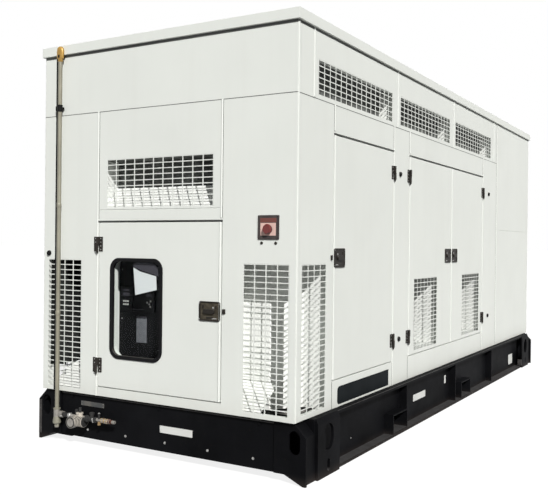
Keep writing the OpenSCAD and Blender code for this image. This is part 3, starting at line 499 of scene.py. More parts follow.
beads("front_edge_beads", "front", [(FRONT_EDGES[1], 0.0, BAND),
                                    (FRONT_EDGES[0], FRONT_V[1] + HEAD_GAP, BAND)])
beads("control_door_beads", "front", [(FRONT_DOOR[0], *FRONT_V)], "control_door")
beads("side_edge_beads", "side", [
    (CORNER_BEAD, 0.0, TOP - CORNER_BEAD_DOWN), (MID[0], 0.0, BAND), (REAR_POST[0], 0.0, BAND),
    (REAR_S, 0.0, TOP), (SIDE_EDGE, SIDE_V[1] + HEAD_GAP, BAND),
    (MID[1], SIDE_V[1] + HEAD_GAP, BAND)])
beads("side_door_beads", "side", [(SINGLE[0], *SIDE_V)], "side_door")
beads("bay_front_beads", "side", [(LEAF1[0], *SIDE_V)], "bay_door_front")
beads("bay_rear_beads", "side", [(LEAF2[0], *SIDE_V)], "bay_door_rear")
beads("left_edge_beads", "left", [
    (MID[0], 0.0, BAND), (MID[1], 0.0, BAND), (REAR_POST[0], 0.0, BAND), (REAR_S, 0.0, TOP),
    (SINGLE[0], *SIDE_V), (LEAF1[0], *SIDE_V), (LEAF2[0], *SIDE_V)])
beads("rear_edge_beads", "rear", [(u, 0.0, TOP) for u in REAR_BEADS])

# ---------------------------------------------------------------- seams, and gaskets with painted shade
SEAM = 0.0035
SEAM_PROUD = 0.0012
SEAM_END = 0.002        # from a seam's end to the wall's
SILL_GAP = 0.01         # from a sill's seams up to the doors
BAND_SEAMS = (0.225, 1.81, 3.39, 4.98)
BAND_BEAD_UP = 0.003
# Dark grey strips under the roof trim: a gasket, drawn tall enough to cover the trim's cast shadow
# too, so partly painted shade.
GASKET_SHADE_H = 0.022
GASKET_SHADE_PROUD = 0.0014
GASKET_SHADE_END = 0.001
GASKET_SHADE_TOP = 0.0005     # from a gasket's top to the wall's
# The side gasket strips taper to the rear, following the roof trim's shadow: (place along the side,
# height).
SIDE_GASKET_SHADE = ((GASKET_SHADE_END, 0.019), (1.0, 0.018), (2.0, 0.012), (3.4, 0.009),
               (BODY_L - GASKET_SHADE_END, 0.007))


def strips(name, look, proud, rows):
    """Thin strips on the wall faces: rows of (face, u0, u1, v0, v1)."""
    boxes(name, look, [(*row, -proud, BED) for row in rows])


rows = [("front", 0.0, BODY_W, BAND - SEAM, BAND)]
for u in (FRONT_EDGES[0], FRONT_EDGES[1] - SEAM):
    rows.append(("front", u, u + SEAM, FRONT_V[1] + HEAD_GAP, BAND - SEAM))
for face in ("side", "left"):
    rows.append((face, 0.0, REAR_S, BAND - SEAM, BAND))
    for u in (SIDE_EDGE, MID[0] - SEAM, MID[1], REAR_POST[0] - SEAM, REAR_S - SEAM):
        rows.append((face, u, u + SEAM, SIDE_V[1] + HEAD_GAP, BAND - SEAM))
    for u in (SIDE_EDGE, MID[0], MID[1], REAR_POST[0]):
        rows.append((face, u, u + SEAM, SEAM_END, SIDE_V[0] - SILL_GAP))
    rows.append((face, REAR_S - SEAM, REAR_S, SEAM_END, TOP - SEAM_END))
strips("panel_seams", "trim", SEAM_PROUD, rows)
strips("end_gaskets_and_shade", "gasket_and_shade", GASKET_SHADE_PROUD, [
    (face, GASKET_SHADE_END, BODY_W - GASKET_SHADE_END, TOP - GASKET_SHADE_H, TOP - GASKET_SHADE_TOP)
    for face in ("front", "rear")])
bm = bmesh.new()
for face in ("side", "left"):
    skin(bm, [[bm.verts.new(FACES[face](s, v, t)) for v, t in (
        (TOP - h, -GASKET_SHADE_PROUD), (TOP - GASKET_SHADE_TOP, -GASKET_SHADE_PROUD),
        (TOP - GASKET_SHADE_TOP, BED), (TOP - h, BED))] for s, h in SIDE_GASKET_SHADE])
add_piece("side_gaskets_and_shade", bm, "gasket_and_shade")
band_runs = [(s + SEAM, BAND + BAND_BEAD_UP, TOP - SEAM_END) for s in BAND_SEAMS]
beads("band_edge_beads", "side", band_runs)
beads("left_band_beads", "left", band_runs)

# ---------------------------------------------------------------- roof
ROOF_BAYS = 8
RIB = ((-0.016, 0.0), (-0.010, 0.010), (0.010, 0.010), (0.016, 0.0))   # (across, up)
RIB_END = WALL_T + 0.002
bm = bmesh.new()
for i in range(1, ROOF_BAYS):
    s = WALL_T + i * (BODY_L - 2 * WALL_T) / ROOF_BAYS
    prism(bm, "roof", [(s + across, out) for across, out in RIB], RIB_END, BODY_W - RIB_END)
add_piece("roof_ribs", bm, "body")

# ---------------------------------------------------------------- hinges
HINGE_V = (1.852, 0.392)
FRONT_HINGE_V = (1.206, 0.247)
LEAF_C = 0.027          # from a hinge's pin to the middle of a leaf
LEAF_SCREWS = (-0.044, -0.015, 0.015, 0.044)
LEAF_FACE = -0.004
HINGE_SCREW = (0.0052, 0.003)   # radius and height


def hinge_screws(name, face, u, to_door, heights, door_body="enclosure"):
    """Screws in both leaves of the hinges at u; to_door is 1 or -1."""
    for leaf, way, body in (("_wall_screws", -to_door, "enclosure"),
                            ("_door_screws", to_door, door_body)):
        spots = [(u + way * LEAF_C, v + dv) for v in heights for dv in LEAF_SCREWS]
        domes(name + leaf, face, spots, *HINGE_SCREW, "zinc", body, LEAF_FACE)


hinge_screws("control_hinge", "front", FRONT_EDGES[1], -1, FRONT_HINGE_V, "control_door")
hinge_screws("side_hinge", "side", MID[0], -1, HINGE_V, "side_door")
hinge_screws("bay_front_hinge", "side", MID[1], 1, HINGE_V, "bay_door_front")
hinge_screws("bay_rear_hinge", "side", REAR_POST[0], -1, HINGE_V, "bay_door_rear")
for k, (u, to_door) in enumerate(((MID[0], -1), (MID[1], 1), (REAR_POST[0], -1))):
    hinge_screws("left_hinge_%d" % k, "left", u, to_door, HINGE_V)

# ---------------------------------------------------------------- latches
DISH_RIM = 0.012
DISH_FLOOR = (-0.0036, -0.0026, 0.0004)     # depths and bevel
DISH_RIB = 0.030        # from the dish's side to a rib
RIB_W = 0.010
RIB_UP = (0.022, 0.046)     # from the dish's middle
RIB_BOX = (-0.0075, -0.0005, 0.0012)        # depths and bevel
LOW_RIB_UP = (-0.052, -0.040)
LOW_RIB_HALF = 0.030
LOW_RIB_BOX = (-0.0065, -0.0005, 0.0012)
DISH_SCREW_IN = (0.0055, 0.014)
DISH_SCREW = (0.0042, 0.0022)   # radius and height
DISH_FACE = -0.008
KEY_FACE = -0.012
KEY_RINGS = [(0.0, 0.0125), (0.004, 0.0125), (0.0052, 0.011), (0.0052, 0.006), (0.003, 0.005)]
CATCH_RINGS = [(0, 0.008), (0.003, 0.008), (0.0045, 0.005)]
CATCH_AT = (0.060, 0.098)   # from the dish's lower corner
CATCH_BAR = (0.030, 0.072, 0.016, 0.024)
CATCH_BOX = (-0.0062, -0.0030, 0.0010)


def latch_details(name, face, box, body, floor_look="fitting"):
    """Key barrel, screws, ribs, floor and catch of a latch dish."""
    axis, base = (1, YS) if face == "front" else (0, XF)
    u0, u1 = box[0][axis] - base, box[1][axis] - base
    v0, v1 = box[0][2] - SK, box[1][2] - SK
    uc, vc = (u0 + u1) / 2, (v0 + v1) / 2
    turned(name + "_key", "zinc", [(FACES[face](uc, vc, KEY_FACE), OUT[face], KEY_RINGS)], body)
    du, dv = DISH_SCREW_IN
    domes(name + "_screws", face, [(u, v) for u in (u0 + du, u1 - du) for v in (v0 + dv, v1 - dv)],
          *DISH_SCREW, "zinc", body, DISH_FACE)
    high, low = (vc + RIB_UP[0], vc + RIB_UP[1]), (vc + LOW_RIB_UP[0], vc + LOW_RIB_UP[1])
    boxes(name + "_ribs", "fitting", [
        (face, u0 + DISH_RIB, u0 + DISH_RIB + RIB_W, *high, *RIB_BOX),
        (face, u1 - DISH_RIB - RIB_W, u1 - DISH_RIB, *high, *RIB_BOX),
        (face, uc - LOW_RIB_HALF, uc + LOW_RIB_HALF, *low, *LOW_RIB_BOX)], body)
    boxes(name + "_dish_floor", floor_look, [
        (face, u0 + DISH_RIM, u1 - DISH_RIM, v0 + DISH_RIM, v1 - DISH_RIM, *DISH_FLOOR)], body)
    bm = bmesh.new()
    a0, a1, b0, b1 = CATCH_BAR
    slab(bm, face, u0 + a0, u0 + a1, v0 + b0, v0 + b1, *CATCH_BOX)
    lathe(bm, FACES[face](u0 + CATCH_AT[0], v0 + CATCH_AT[1], -0.003), OUT[face], CATCH_RINGS, 16)
    add_piece(name + "_catch", bm, "zinc", body)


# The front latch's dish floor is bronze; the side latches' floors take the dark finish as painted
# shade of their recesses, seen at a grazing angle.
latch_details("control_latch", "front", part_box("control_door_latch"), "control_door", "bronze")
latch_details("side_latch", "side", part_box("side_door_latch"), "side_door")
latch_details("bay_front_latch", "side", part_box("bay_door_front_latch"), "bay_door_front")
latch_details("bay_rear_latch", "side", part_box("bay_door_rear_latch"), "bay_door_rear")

KEEPER_OUT = 0.011
boxes("keepers", "fitting", [("front", 0.572, 0.596, 0.715, 0.750, -KEEPER_OUT, BED, 0.003),
                             ("side", 0.522, 0.545, 1.105, 1.143, -KEEPER_OUT, BED, 0.003)])

# ---------------------------------------------------------------- front crossmember
BOLT_U, BOLT_Z = (0.353, 0.747, 1.143, 1.532, 1.931), 0.134
TOP_BOLT_U, TOP_BOLT_Z = (0.30, 1.20, 2.10), 0.385
heads("crossmember_bolts", "cross", [(u, BOLT_Z) for u in BOLT_U], 0.0075, 0.008, "zinc")
heads("crossmember_top_bolts", "cross", [(u, TOP_BOLT_Z) for u in TOP_BOLT_U], 0.011, 0.009, "skid")

CARD_T = 0.003
CARD_BED = 0.0003
CARD_BEVEL = 0.0008


def bare_plates(name, look, face, rows, t=0.0):
    """Blank plates that lie on a face at depth t: rows of (u0, u1, v0, v1)."""
    boxes(name, look, [(face, *row, t - CARD_T, t + CARD_BED, CARD_BEVEL) for row in rows])


bare_plates("bare_plate_front", "card", "cross", [(0.885, 1.190, 0.208, 0.262)])
bare_plates("bare_plate_grey", "card_grey", "cross", [(1.758, 2.005, 0.325, 0.362)])
domes("plate_rivets", "cross", [(u, z) for u in (0.882, 1.183) for z in (0.216, 0.257)] +
      [(u, z) for u in (1.767, 1.996) for z in (0.332, 0.355)], 0.003, 0.0015, "zinc", t=-CARD_T)

# ---------------------------------------------------------------- stop station
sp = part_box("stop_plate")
su0, su1 = sp[0][1] - YS, sp[1][1] - YS
sv0, sv1 = sp[0][2] - SK, sp[1][2] - SK
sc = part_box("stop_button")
bu, bv = (sc[0][1] + sc[1][1]) / 2 - YS, (sc[0][2] + sc[1][2]) / 2 - SK
STOP_SHEET = (-0.0075, -0.0055, 0.0008)     # depths and bevel of the sheets on the plate
STOP_SCREW_IN = 0.011
STOP_FACE = -0.006
COLLAR_RINGS = [(0, 0.033), (0.006, 0.033), (0.008, 0.030), (0.008, 0.018)]
boxes("stop_face", "pale", [
    ("front", su0 + 0.024, su1 - 0.022, sv0 + 0.028, sv1 - 0.054, *STOP_SHEET)])
boxes("stop_band", "band", [
    ("front", su0 + 0.020, su1 - 0.020, sv1 - 0.051, sv1 - 0.020, *STOP_SHEET)])
domes("stop_screws", "front", [(u, v) for u in (su0 + STOP_SCREW_IN, su1 - STOP_SCREW_IN)
                               for v in (sv0 + STOP_SCREW_IN, sv1 - STOP_SCREW_IN)],
      0.0045, 0.0025, "dark_steel", t=STOP_FACE)
domes("stop_low_screws", "front", [(bu - 0.058, sv0 - 0.024), (bu + 0.056, sv0 - 0.024)],
      0.0115, 0.006, "fitting")
turned("stop_collar", "fitting", [
    (FACES["front"](bu, bv, STOP_FACE), OUT["front"], COLLAR_RINGS, 28)])

# ---------------------------------------------------------------- behind the window
cw0, cw1 = CAB[0][1] - YS, CAB[1][1] - YS
CASE_OUT = 0.018
ON_CASE = -0.0178       # where screens and keys sink into a case
SCREEN = (-0.0205, ON_CASE, 0.001)
KEY = (-0.0215, ON_CASE, 0.0012)
KEY_PITCH = 0.0215
LAMPS, LAMP_U, LAMP_PITCH, LAMP_V = 6, 1.518, 0.0225, 0.680
LAMP_RINGS = [(0, 0.0035), (0.006, 0.0035), (0.008, 0.002)]
boxes("controller_cases", "cabinet", [
    ("cab", 1.636, 1.762, 0.665, 0.868, -CASE_OUT, BED, 0.004),
    ("cab", 1.412, 1.516, 0.665, 0.842, -CASE_OUT, BED, 0.004)])
boxes("controller_screens", "dim", [("cab", 1.668, 1.736, 0.828, 0.842, *SCREEN),
                                    ("cab", 1.668, 1.736, 0.788, 0.814, *SCREEN),
                                    ("cab", 1.432, 1.494, 0.788, 0.814, *SCREEN)])
rows = [("cab", 1.676 + i * KEY_PITCH, 1.688 + i * KEY_PITCH, v, v + 0.013, *KEY)
        for i in range(3) for v in (0.712, 0.738)]
rows += [("cab", u, u + 0.013, v, v + 0.014, *KEY)
         for u, v in ((1.442, 0.702), (1.452, 0.722), (1.474, 0.734), (1.440, 0.746))]
boxes("controller_keys", "card", rows)
boxes("breaker_cover", "grey", [("cab", 1.497, 1.599, 0.414, 0.608, -0.010, BED, 0.003)])
boxes("breaker_head", "dim", [("cab", 1.499, 1.597, 0.611, 0.626, -0.011, BED, 0.002)])
turned("pilot_lamps", "grey", [
    (FACES["cab"](LAMP_U + i * LAMP_PITCH, LAMP_V, 0.0), OUT["cab"], LAMP_RINGS, 10)
    for i in range(LAMPS)])

SHEET_T = 0.0007


def flat_sheet(name, outline, t, look):
    """A thin sheet behind the door's glass, from (u, v) corners."""
    bm = bmesh.new()
    skin(bm, [[bm.verts.new(FACES["front"](u, v, t + back)) for u, v in outline]
              for back in (0.0, SHEET_T)])
    add_piece(name, bm, look, "control_door")


flat_sheet("blank_sheet", [(1.215, 0.862), (1.426, 0.815), (1.447, 1.027), (1.380, 0.998),
                           (1.222, 0.965)], 0.0165, "paper")
flat_sheet("sheet_cover", [(1.203, 0.965), (1.447, 1.027), (1.447, 1.064), (1.262, 1.070),
                           (1.204, 1.030)], 0.0180, "dim")
domes("cabinet_screws", "cab", [(u, v) for u in (cw0 + 0.03, cw1 - 0.03)
                                for v in (0.2, 0.6, 1.0, 1.35)], 0.006, 0.003, "zinc")

# ---------------------------------------------------------------- skid details
WEB_T = 0.028           # from the flange's edge in to the rail's web
FLANGE_LINE = 0.0004    # half the width of the light line along a rail's flange, a painted highlight with wear
FLANGE_END = 0.56
POCKET_W = 0.338
# Plates on the web: (s0, s1, z0, z1).
WEB_PLATES = ((2.352, 2.682, 0.183, 0.245), (3.262, 3.306, 0.222, 0.302),
              (5.945, 6.140, 0.075, 0.205))
WEB_STUD = (0.97, 0.13)     # place along the side and height
bare_plates("bare_plates_side", "card", "side",
            [(s0, s1, z0 - SK, z1 - SK) for s0, s1, z0, z1 in WEB_PLATES], WEB_T)
# Light lines on the skid's edges and the crossmember's top edge: painted highlights, with wear.
rows = [("front", 2.443, 2.474, 0.045 - SK, 0.325 - SK, 0.0275, 0.0303, 0.0008),
        ("side", 6.262, 6.288, 0.030 - SK, 0.110 - SK, -0.072, -0.020, 0.001),
        ("cross", 0.02, BODY_W - 0.02, 0.403, 0.412, -0.0015, CARD_BED, 0.0005)]
for y in (RAIL[0][1], RAIL[1][1]):
    t = y - YS + (0.0002 if y < 0 else -0.0002)
    rows.append(("side", FLANGE_END, BODY_L - FLANGE_END, -0.0042, 0.0002,
                 t - FLANGE_LINE, t + FLANGE_LINE))
boxes("edge_highlights_and_wear", "wear_and_sheen", rows)
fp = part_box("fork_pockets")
boxes("pocket_dust", "wear_and_sheen", [
    ("side", x - XF + 0.014, x - XF + 0.324, fp[0][2] - SK + 0.0118, fp[0][2] - SK + 0.0132,
     0.03, 0.75, 0.0004) for x in (fp[0][0], fp[1][0] - POCKET_W)])
turned("web_studs", "zinc", [(FACES["side"](WEB_STUD[0], WEB_STUD[1] - SK, WEB_T), OUT["side"],
                              [(0, 0.006), (0.003, 0.006), (0.005, 0.003)], 12)])

# ---------------------------------------------------------------- behind the grilles
SIDE_ROOM = 0.068       # how far a grille's box reaches past the grille
BACK = 0.052            # just behind the wall's inner face
BAND_GRILLE, BAND_PITCH, BAND_GRILLE_W, BAND_GRILLES = 0.302, 1.579, 1.3985, 3
CENTRE_BOX = (0.620, 1.780)
CORNER_LOW, CORNER_FOOT, CORNER_TOP = 0.031, 0.200, 1.118
CORNER_DARK = 0.205         # the painted-shade sheets near the grille start just over the sloped plate
# The baffle's path in the far corner's box: distances from the far wall's face, and depths.
PATH_IN, PATH_BEND, PATH_OUT, PATH_END = 0.602, 0.373, 0.220, 0.055
NEAR_T, DEEP_T = 0.2865, 0.5215
SHADE_SHEET_T = 0.002
SLANT_T = 0.0013            # the slanted painted-shade sheet's thickness along the depth
GRILLE_EDGE = 0.0805        # from the far wall's face to the corner grille's opening
LEAF_BACK = 0.3245
# Grey sheets on the backs and ceilings of the band and centre grille boxes: painted shade where the
# sun does not reach.
rows = []
for face in ("side", "left"):
    for i in range(BAND_GRILLES):
        s0 = BAND_GRILLE + BAND_PITCH * i - SIDE_ROOM
        s1 = s0 + BAND_GRILLE_W + 2 * SIDE_ROOM
        rows.append((face, s0, s1, BAND + 0.027, BAND + 0.283, 0.1575, 0.1588))
        rows.append((face, s0, s1, BAND + 0.2825, BAND + 0.2835, BACK, 0.157))
rows.append(("front", *CENTRE_BOX, 1.492, 1.871, 0.2095, 0.2115))
rows.append(("front", *CENTRE_BOX, 1.8705, 1.8725, BACK, 0.209))
boxes("back_painted_shade", "lining", rows)

# Dark sheets in the far corner's box are painted shade. Its sloped plate, in the foot of it, stays
# bare sheet.
bm = bmesh.new()
slab(bm, "front", BODY_W - PATH_IN, BODY_W - PATH_BEND, CORNER_FOOT, CORNER_TOP,
     NEAR_T, NEAR_T + SHADE_SHEET_T)
bend, out = BODY_W - PATH_BEND - 0.0005, BODY_W - PATH_OUT
prism(bm, "front", [(bend, -NEAR_T), (out, -DEEP_T), (out - SHADE_SHEET_T, -DEEP_T - SLANT_T),
                    (bend - SHADE_SHEET_T, -NEAR_T - SLANT_T)], CORNER_LOW, CORNER_TOP)
slab(bm, "front", out, BODY_W - PATH_END, CORNER_LOW, CORNER_TOP, DEEP_T, DEEP_T + SHADE_SHEET_T)
slab(bm, "front", BODY_W - 0.6012, BODY_W - 0.599, CORNER_LOW, CORNER_TOP, BACK, 0.286)
slab(bm, "left", 0.060, 0.500, CORNER_DARK, CORNER_TOP, 0.1100, 0.1125)
slab(bm, "front", BODY_W - 0.210, BODY_W - 0.080, CORNER_DARK, CORNER_TOP, BACK, 0.0535)
slab(bm, "front", BODY_W - GRILLE_EDGE - SHADE_SHEET_T, BODY_W - GRILLE_EDGE, CORNER_DARK,
     CORNER_TOP - 0.008, 0.004, BACK)
add_piece("corner_painted_shade", bm, "shade")

for node, body in (("bay_door_front_grille", "bay_door_front"),
                   ("bay_door_rear_grille", "bay_door_rear")):
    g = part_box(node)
    g0, g1 = g[0][0] - XF - SIDE_ROOM, g[1][0] - XF + SIDE_ROOM
    h0, h1 = g[0][2] - SK, g[1][2] - SK
    # Grey sheets on the back, front side and top of each leaf's grille box are painted shade; the
    # rear side, which the sun reaches, stays bare sheet.
    boxes(body + "_lining", "lining", [
        ("side", g0, g1, h0 + 0.002, h1 - 0.002, LEAF_BACK, LEAF_BACK + 0.002),
        ("side", g0 - 0.0015, g0 + 0.001, h0 + 0.002, h1 - 0.002, BACK, LEAF_BACK - 0.0005),
        ("side", g0, g1, h1 - 0.0025, h1 - 0.0005, BACK, LEAF_BACK - 0.0005)], body)
    boxes(body + "_sheet", "baffle", [
        ("side", g1 - 0.0025, g1 - 0.0005, h0 + 0.002, h1 - 0.003, BACK, LEAF_BACK - 0.0005)], body)


def sloped_plate(bm, u0, u1, low, high, thick=0.002):
    """A plate behind a front grille that rises inward, from (t, v) to (t, v)."""
    f = FACES["front"]
    (t0, v0), (t1, v1) = low, high
    skin(bm, [[bm.verts.new(f(u, v, t)) for v, t in
               ((v0, t0), (v1, t1), (v1 - thick, t1), (v0 - thick, t0))] for u in (u0, u1)])


bm = bmesh.new()
sloped_plate(bm, 0.619, 1.781, (0.056, 1.493), (0.206, 1.660))
for u0, u1 in ((0.300, 0.5985), (BODY_W - 0.5985, BODY_W - 0.055)):
    sloped_plate(bm, u0, u1, (0.056, CORNER_LOW), (0.286, CORNER_FOOT))
add_piece("sloped_plates", bm, "baffle")

# ---------------------------------------------------------------- vent pipe
CAP_SEGS = 28
# The flattened cap: (z, half width across, half width outward).
CAP_RINGS = ((3.118, 0.019, 0.0165), (3.122, 0.021, 0.0180), (3.140, 0.023, 0.0185),
             (3.146, 0.033, 0.0190), (3.156, 0.036, 0.0195), (3.205, 0.0365, 0.0195),
             (3.225, 0.033, 0.0190), (3.238, 0.023, 0.0160), (3.243, 0.011, 0.0090))
CLAMP_RINGS = [(0, 0.0185), (0.001, 0.0212), (0.049, 0.0212), (0.050, 0.0185)]
LIP_RINGS = [(0, 0.0185), (0.0005, 0.0225), (0.006, 0.0225), (0.0065, 0.0185)]
SLEEVE_RINGS = [(0, 0.0180), (0.003, 0.0198), (0.035, 0.0198), (0.038, 0.0180)]
CLAMP_V, LOW_LIP_V, HIGH_LIP_V = 2.285, 2.283, 2.331
PIPE_U = PIPE_Y - YS
STRIP_U, STRIP_W = PIPE_U + 0.055, 0.022
STRIP_OUT, STRIP_ROUND = 0.010, 0.004
angles = [2 * math.pi * i / CAP_SEGS for i in range(CAP_SEGS)]
bm = bmesh.new()
skin(bm, [[bm.verts.new((PIPE_X + out * math.cos(a), PIPE_Y + across * math.sin(a), z))
           for a in angles] for z, across, out in CAP_RINGS])
add_piece("pipe_cap", bm, "strap", smooth=True)
bm = bmesh.new()
lathe(bm, (PIPE_X, PIPE_Y, SK + CLAMP_V), UP, CLAMP_RINGS, 22)
slab(bm, "front", PIPE_U + 0.012, PIPE_U + 0.050, 2.288, 2.331, -0.040, -0.010, 0.002)
lathe(bm, (PIPE_X, PIPE_Y, SK + LOW_LIP_V), UP, LIP_RINGS, 22)
lathe(bm, (PIPE_X, PIPE_Y, SK + HIGH_LIP_V), UP, LIP_RINGS, 22)
add_piece("clamp_band", bm, "clamp", smooth=True)
bm = bmesh.new()
prism(bm, "front", [(STRIP_U, -BED), (STRIP_U, STRIP_OUT - STRIP_ROUND),
                    (STRIP_U + STRIP_ROUND, STRIP_OUT), (STRIP_U + STRIP_W - STRIP_ROUND, STRIP_OUT),
                    (STRIP_U + STRIP_W, STRIP_OUT - STRIP_ROUND), (STRIP_U + STRIP_W, -BED)],
      0.004, TOP - 0.024)
add_piece("pipe_edge_strip", bm, "rubber")
for z, place in ((1.93, "mid"), (1.05, "low")):
    turned("pipe_sleeve_" + place, "pipe", [((PIPE_X, PIPE_Y, z), UP, SLEEVE_RINGS)])

# ---------------------------------------------------------------- gas train
TRAIN_Z = 0.250
REG_D, REG_Z, FILTER_Z = 0.194, 0.205, 0.217    # regulator and filter
TRAIN_FACE = TRAIN[0][0]
ALONG, OUTWARD = (0, -1, 0), (-1, 0, 0)
RIBS, RIB_PITCH = 7, 0.0155
REG_BOLTS = ((0.6, 0.020, 0.0095), (2.3, 0.016, 0.0085), (3.9, 0.021, 0.0070),
             (5.3, 0.019, 0.0080), (0.0, 0.0, 0.0085))   # (angle, radius, size)


def at(d, z=TRAIN_Z, dx=0.0):
    """A point of the gas train, d along from the pipe."""
    return PIPE_X + dx, PIPE_Y - d, z


def on_regulator(depth, across=0.0, up=0.0):
    """A point of the regulator's outer end, depth in from its face."""
    return TRAIN_FACE + depth, PIPE_Y - REG_D + across, REG_Z + up


turned("tee_collars", "pipe", [
    (at(0.0, 0.283), UP, [(0, 0.0255), (0.002, 0.0295), (0.010, 0.0295), (0.013, 0.0200)], 24),
    (at(0.0, 0.170), UP, [(0, 0.0290), (0.003, 0.0325), (0.018, 0.0325), (0.055, 0.0262)], 24)])
bm = bmesh.new()
hex_nut(bm, at(0.0, 0.1665), DOWN, 0.0195, 0.024)
add_piece("pipe_plug_nut", bm, "pipe")
bm = bmesh.new()
hex_nut(bm, at(0.036), ALONG, 0.0200, 0.022)
hex_nut(bm, at(0.132), ALONG, 0.0215, 0.026)
add_piece("pipe_nuts", bm, "zinc")
STUB_RINGS = [(0, 0.0120), (0.034, 0.0120), (0.037, 0.0090)]
turned("train_dark_parts", "dark_steel", [
    (at(0.056), ALONG, [(0, 0.0165), (0.004, 0.0175), (0.076, 0.0175), (0.080, 0.0165)]),
    (at(0.318, TRAIN_Z - 0.004), ALONG, [
        (0, 0.0200), (0.006, 0.0270), (0.030, 0.0270), (0.034, 0.0170), (0.092, 0.0170),
        (0.096, 0.0220), (0.116, 0.0220), (0.120, 0.0160)], 22),
    (at(0.385), UP, [(0, 0.0150), (0.034, 0.0150), (0.036, 0.0200), (0.050, 0.0200),
                     (0.053, 0.0150)], 18),
    (at(0.222, 0.272, -0.004), UP, STUB_RINGS, 16),
    (at(0.262, 0.290, -0.004), UP, STUB_RINGS, 16),
    (at(REG_D + 0.002, FILTER_Z), ALONG, [
        (0, 0.0380), (0.003, 0.0428), (0.112, 0.0428), (0.114, 0.0380)], 28),
    (at(0.466, 0.262, -0.006), UP, [(0, 0.0080), (0.030, 0.0080), (0.032, 0.0110),
                                    (0.040, 0.0110), (0.042, 0.0080)], 14)])
turned("regulator_ring", "rib", [(on_regulator(0.0062), OUTWARD, [
    (0, 0.0455), (0.0030, 0.0455), (0.0062, 0.0430), (0.0062, 0.0345), (0.0010, 0.0330)],
    32, False)])
turned("regulator_well", "dark_steel", [(on_regulator(0.0042), OUTWARD, [
    (0, 0.0335), (0.0020, 0.0335), (0.0030, 0.0300), (0.0012, 0.0200)], 32)])
bm = bmesh.new()
for angle, r, size in REG_BOLTS:
    hexagon(bm, on_regulator(0.0050, r * math.cos(angle), r * math.sin(angle)), OUTWARD,
            size * 0.72, 0.0040)
add_piece("regulator_bolts", bm, "rib")
FILTER_RIB = [(0, 0.0420), (0.0015, 0.0458), (0.0065, 0.0458), (0.0080, 0.0420)]
rows = [(at(REG_D + 0.010 + i * RIB_PITCH, FILTER_Z), ALONG, FILTER_RIB, 28) for i in range(RIBS)]
rows.append((at(0.252, 0.258), UP, [(0, 0.0270), (0.016, 0.0270), (0.018, 0.0300),
                                    (0.027, 0.0300), (0.029, 0.0250)], 24))
turned("filter_ribs", "rib", rows)
turned("train_valves", "zinc", [
    (at(0.398, 0.258, -0.012), (0.0, -0.35, -1),
     [(0, 0.0075), (0.030, 0.0075), (0.034, 0.0050)], 14),
    (at(0.466, 0.300, -0.006), UP, [(0, 0.0090), (0.006, 0.0090), (0.009, 0.0060)], 14),
    (at(0.058, TRAIN_Z - 0.012, -0.020), ALONG,
     [(0, 0.0080), (0.016, 0.0080), (0.018, 0.0060)], 14)])
bm = bmesh.new()
hex_nut(bm, at(0.482), ALONG, 0.0200, 0.016)
hex_nut(bm, at(0.536), ALONG, 0.0205, 0.020)
lathe(bm, at(0.462, TRAIN_Z - 0.012), DOWN, [(0, 0.0110), (0.014, 0.0110), (0.016, 0.0140),
                                             (0.026, 0.0140), (0.029, 0.0100)], 16)
lathe(bm, at(0.512), ALONG, [(0, 0.0182), (0.002, 0.0196), (0.012, 0.0196), (0.014, 0.0182)], 18)
add_piece("hex_fittings", bm, "brass")
bm = bmesh.new()
lathe(bm, at(0.562), ALONG, [(0, 0.0185), (0.003, 0.0195), (0.010, 0.0185), (0.013, 0.0150),
                             (0.020, 0.0140), (0.023, 0.0155), (0.034, 0.0145)], 18)
add_piece("rusty_union", bm, "rust")

# ---------------------------------------------------------------- stage
FLOOR_SIZE = 300.0
FLOOR_DROP = 0.0005
FLOOR_GLOW = 0.84       # what the floor adds for the eye, which makes it almost white in the light
SKY_LIGHT = 0.12
SKY_LEAN = (-0.07, 0.07, 0.0)   # the sky is a little brighter towards the front and the left
SUN_LIGHT, SUN_ANGLE, SUN_TRAVEL = 4.3, 0.45, (1.0, 1.04, -1.0)


def seen_ray(nt):
    """1 for rays of the camera, and for those it gets by reflection or through glass."""
    lp = nt.nodes.new("ShaderNodeLightPath")
    indirect = maths(nt, "MAXIMUM", lp.outputs["Is Glossy Ray"], lp.outputs["Is Transmission Ray"])
    return maths(nt, "MAXIMUM", lp.outputs["Is Camera Ray"], indirect)


def mix_shader(nt, fac, a, b):
    """Two shaders mixed by a socket."""
    mix = nt.nodes.new("ShaderNodeMixShader")
    nt.links.new(fac, mix.inputs[0])
    nt.links.new(a, mix.inputs[1])
    nt.links.new(b, mix.inputs[2])
    return mix.outputs[0]


def diffuse(nt, grey):
    """A plain grey diffuse shader."""
    node = nt.nodes.new("ShaderNodeBsdfDiffuse")
    node.inputs["Color"].default_value = (grey, grey, grey, 1)
    return node.outputs[0]


def floor_material():
    """A grey floor that looks almost white to the camera and still takes the shadow."""
    m, nt, out = nodes_of("floor_pale")
    glow = nt.nodes.new("ShaderNodeEmission")
    glow.inputs["Color"].default_value = (1, 1, 1, 1)
    glow.inputs["Strength"].default_value = FLOOR_GLOW
    add = nt.nodes.new("ShaderNodeAddShader")
    nt.links.new(diffuse(nt, 0.22), add.inputs[0])
    nt.links.new(glow.outputs[0], add.inputs[1])
    seen = mix_shader(nt, seen_ray(nt), diffuse(nt, 0.30), add.outputs[0])
    nt.links.new(seen, out.inputs["Surface"])
    return m


bm = bmesh.new()
bmesh.ops.create_grid(bm, x_segments=4, y_segments=4, size=FLOOR_SIZE)
me = bpy.data.meshes.new("floor")
bm.to_mesh(me)
bm.free()
me.materials.append(floor_material())
floor = bpy.data.objects.new("floor", me)
floor.location = (0, 0, -FLOOR_DROP)
bpy.context.scene.collection.objects.link(floor)

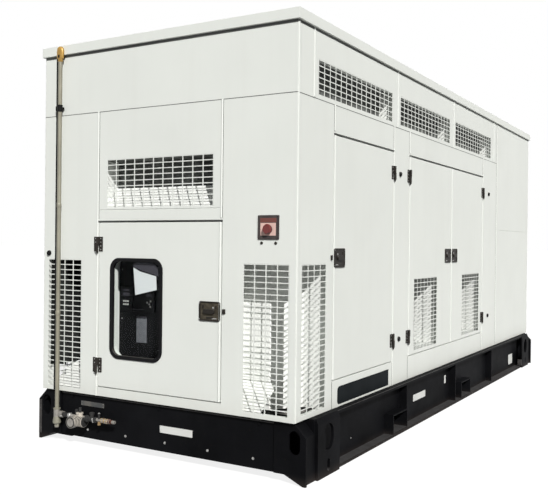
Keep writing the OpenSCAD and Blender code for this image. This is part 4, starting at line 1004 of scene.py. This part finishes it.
world = bpy.data.worlds.new("studio")
bpy.context.scene.world = world
world.use_nodes = True
nt = world.node_tree
nt.nodes.clear()
soft = nt.nodes.new("ShaderNodeBackground")
soft.inputs["Color"].default_value = (0.93, 0.97, 1.0, 1)
white = nt.nodes.new("ShaderNodeBackground")
white.inputs["Color"].default_value = (1, 1, 1, 1)
white.inputs["Strength"].default_value = 1.0
sky = nt.nodes.new("ShaderNodeTexCoord")
lean = nt.nodes.new("ShaderNodeVectorMath")
lean.operation = "DOT_PRODUCT"
lean.inputs[1].default_value = SKY_LEAN
nt.links.new(sky.outputs["Generated"], lean.inputs[0])
nt.links.new(maths(nt, "ADD", lean.outputs["Value"], SKY_LIGHT), soft.inputs["Strength"])
wo = nt.nodes.new("ShaderNodeOutputWorld")
nt.links.new(mix_shader(nt, seen_ray(nt), soft.outputs[0], white.outputs[0]), wo.inputs["Surface"])

sun = bpy.data.lights.new("key", "SUN")
sun.energy = SUN_LIGHT
sun.angle = math.radians(SUN_ANGLE)
sun.color = (1.0, 0.985, 0.96)
key = bpy.data.objects.new("key", sun)
key.rotation_euler = Vector(SUN_TRAVEL).to_track_quat("-Z", "Y").to_euler()
bpy.context.scene.collection.objects.link(key)

# ---------------------------------------------------------------- camera
YAW, PITCH, ROLL = math.radians(30.58), math.radians(-0.19), math.radians(-0.61)
EYE = Vector((XF - 4.619, YS - 2.555, 1.644))
FOCAL_PX, WIDTH_PX, SENSOR = 778.2, 548.0, 36.0
fw = Vector((math.cos(YAW) * math.cos(PITCH), math.sin(YAW) * math.cos(PITCH), math.sin(PITCH)))
rt = Vector((math.sin(YAW), -math.cos(YAW), 0.0))
up = rt.cross(fw)
right = math.cos(ROLL) * rt - math.sin(ROLL) * up
upward = math.sin(ROLL) * rt + math.cos(ROLL) * up
cam = bpy.data.cameras.new("camera")
cam.sensor_fit = "HORIZONTAL"
cam.sensor_width = SENSOR
cam.lens = FOCAL_PX / WIDTH_PX * SENSOR
cam.clip_end = 1000.0
cam_ob = bpy.data.objects.new("camera", cam)
cam_ob.matrix_world = Matrix.Translation(EYE) @ Matrix((right, upward, -fw)).transposed().to_4x4()
bpy.context.scene.collection.objects.link(cam_ob)
bpy.context.scene.camera = cam_ob
bpy.context.scene.view_settings.view_transform = "Standard"
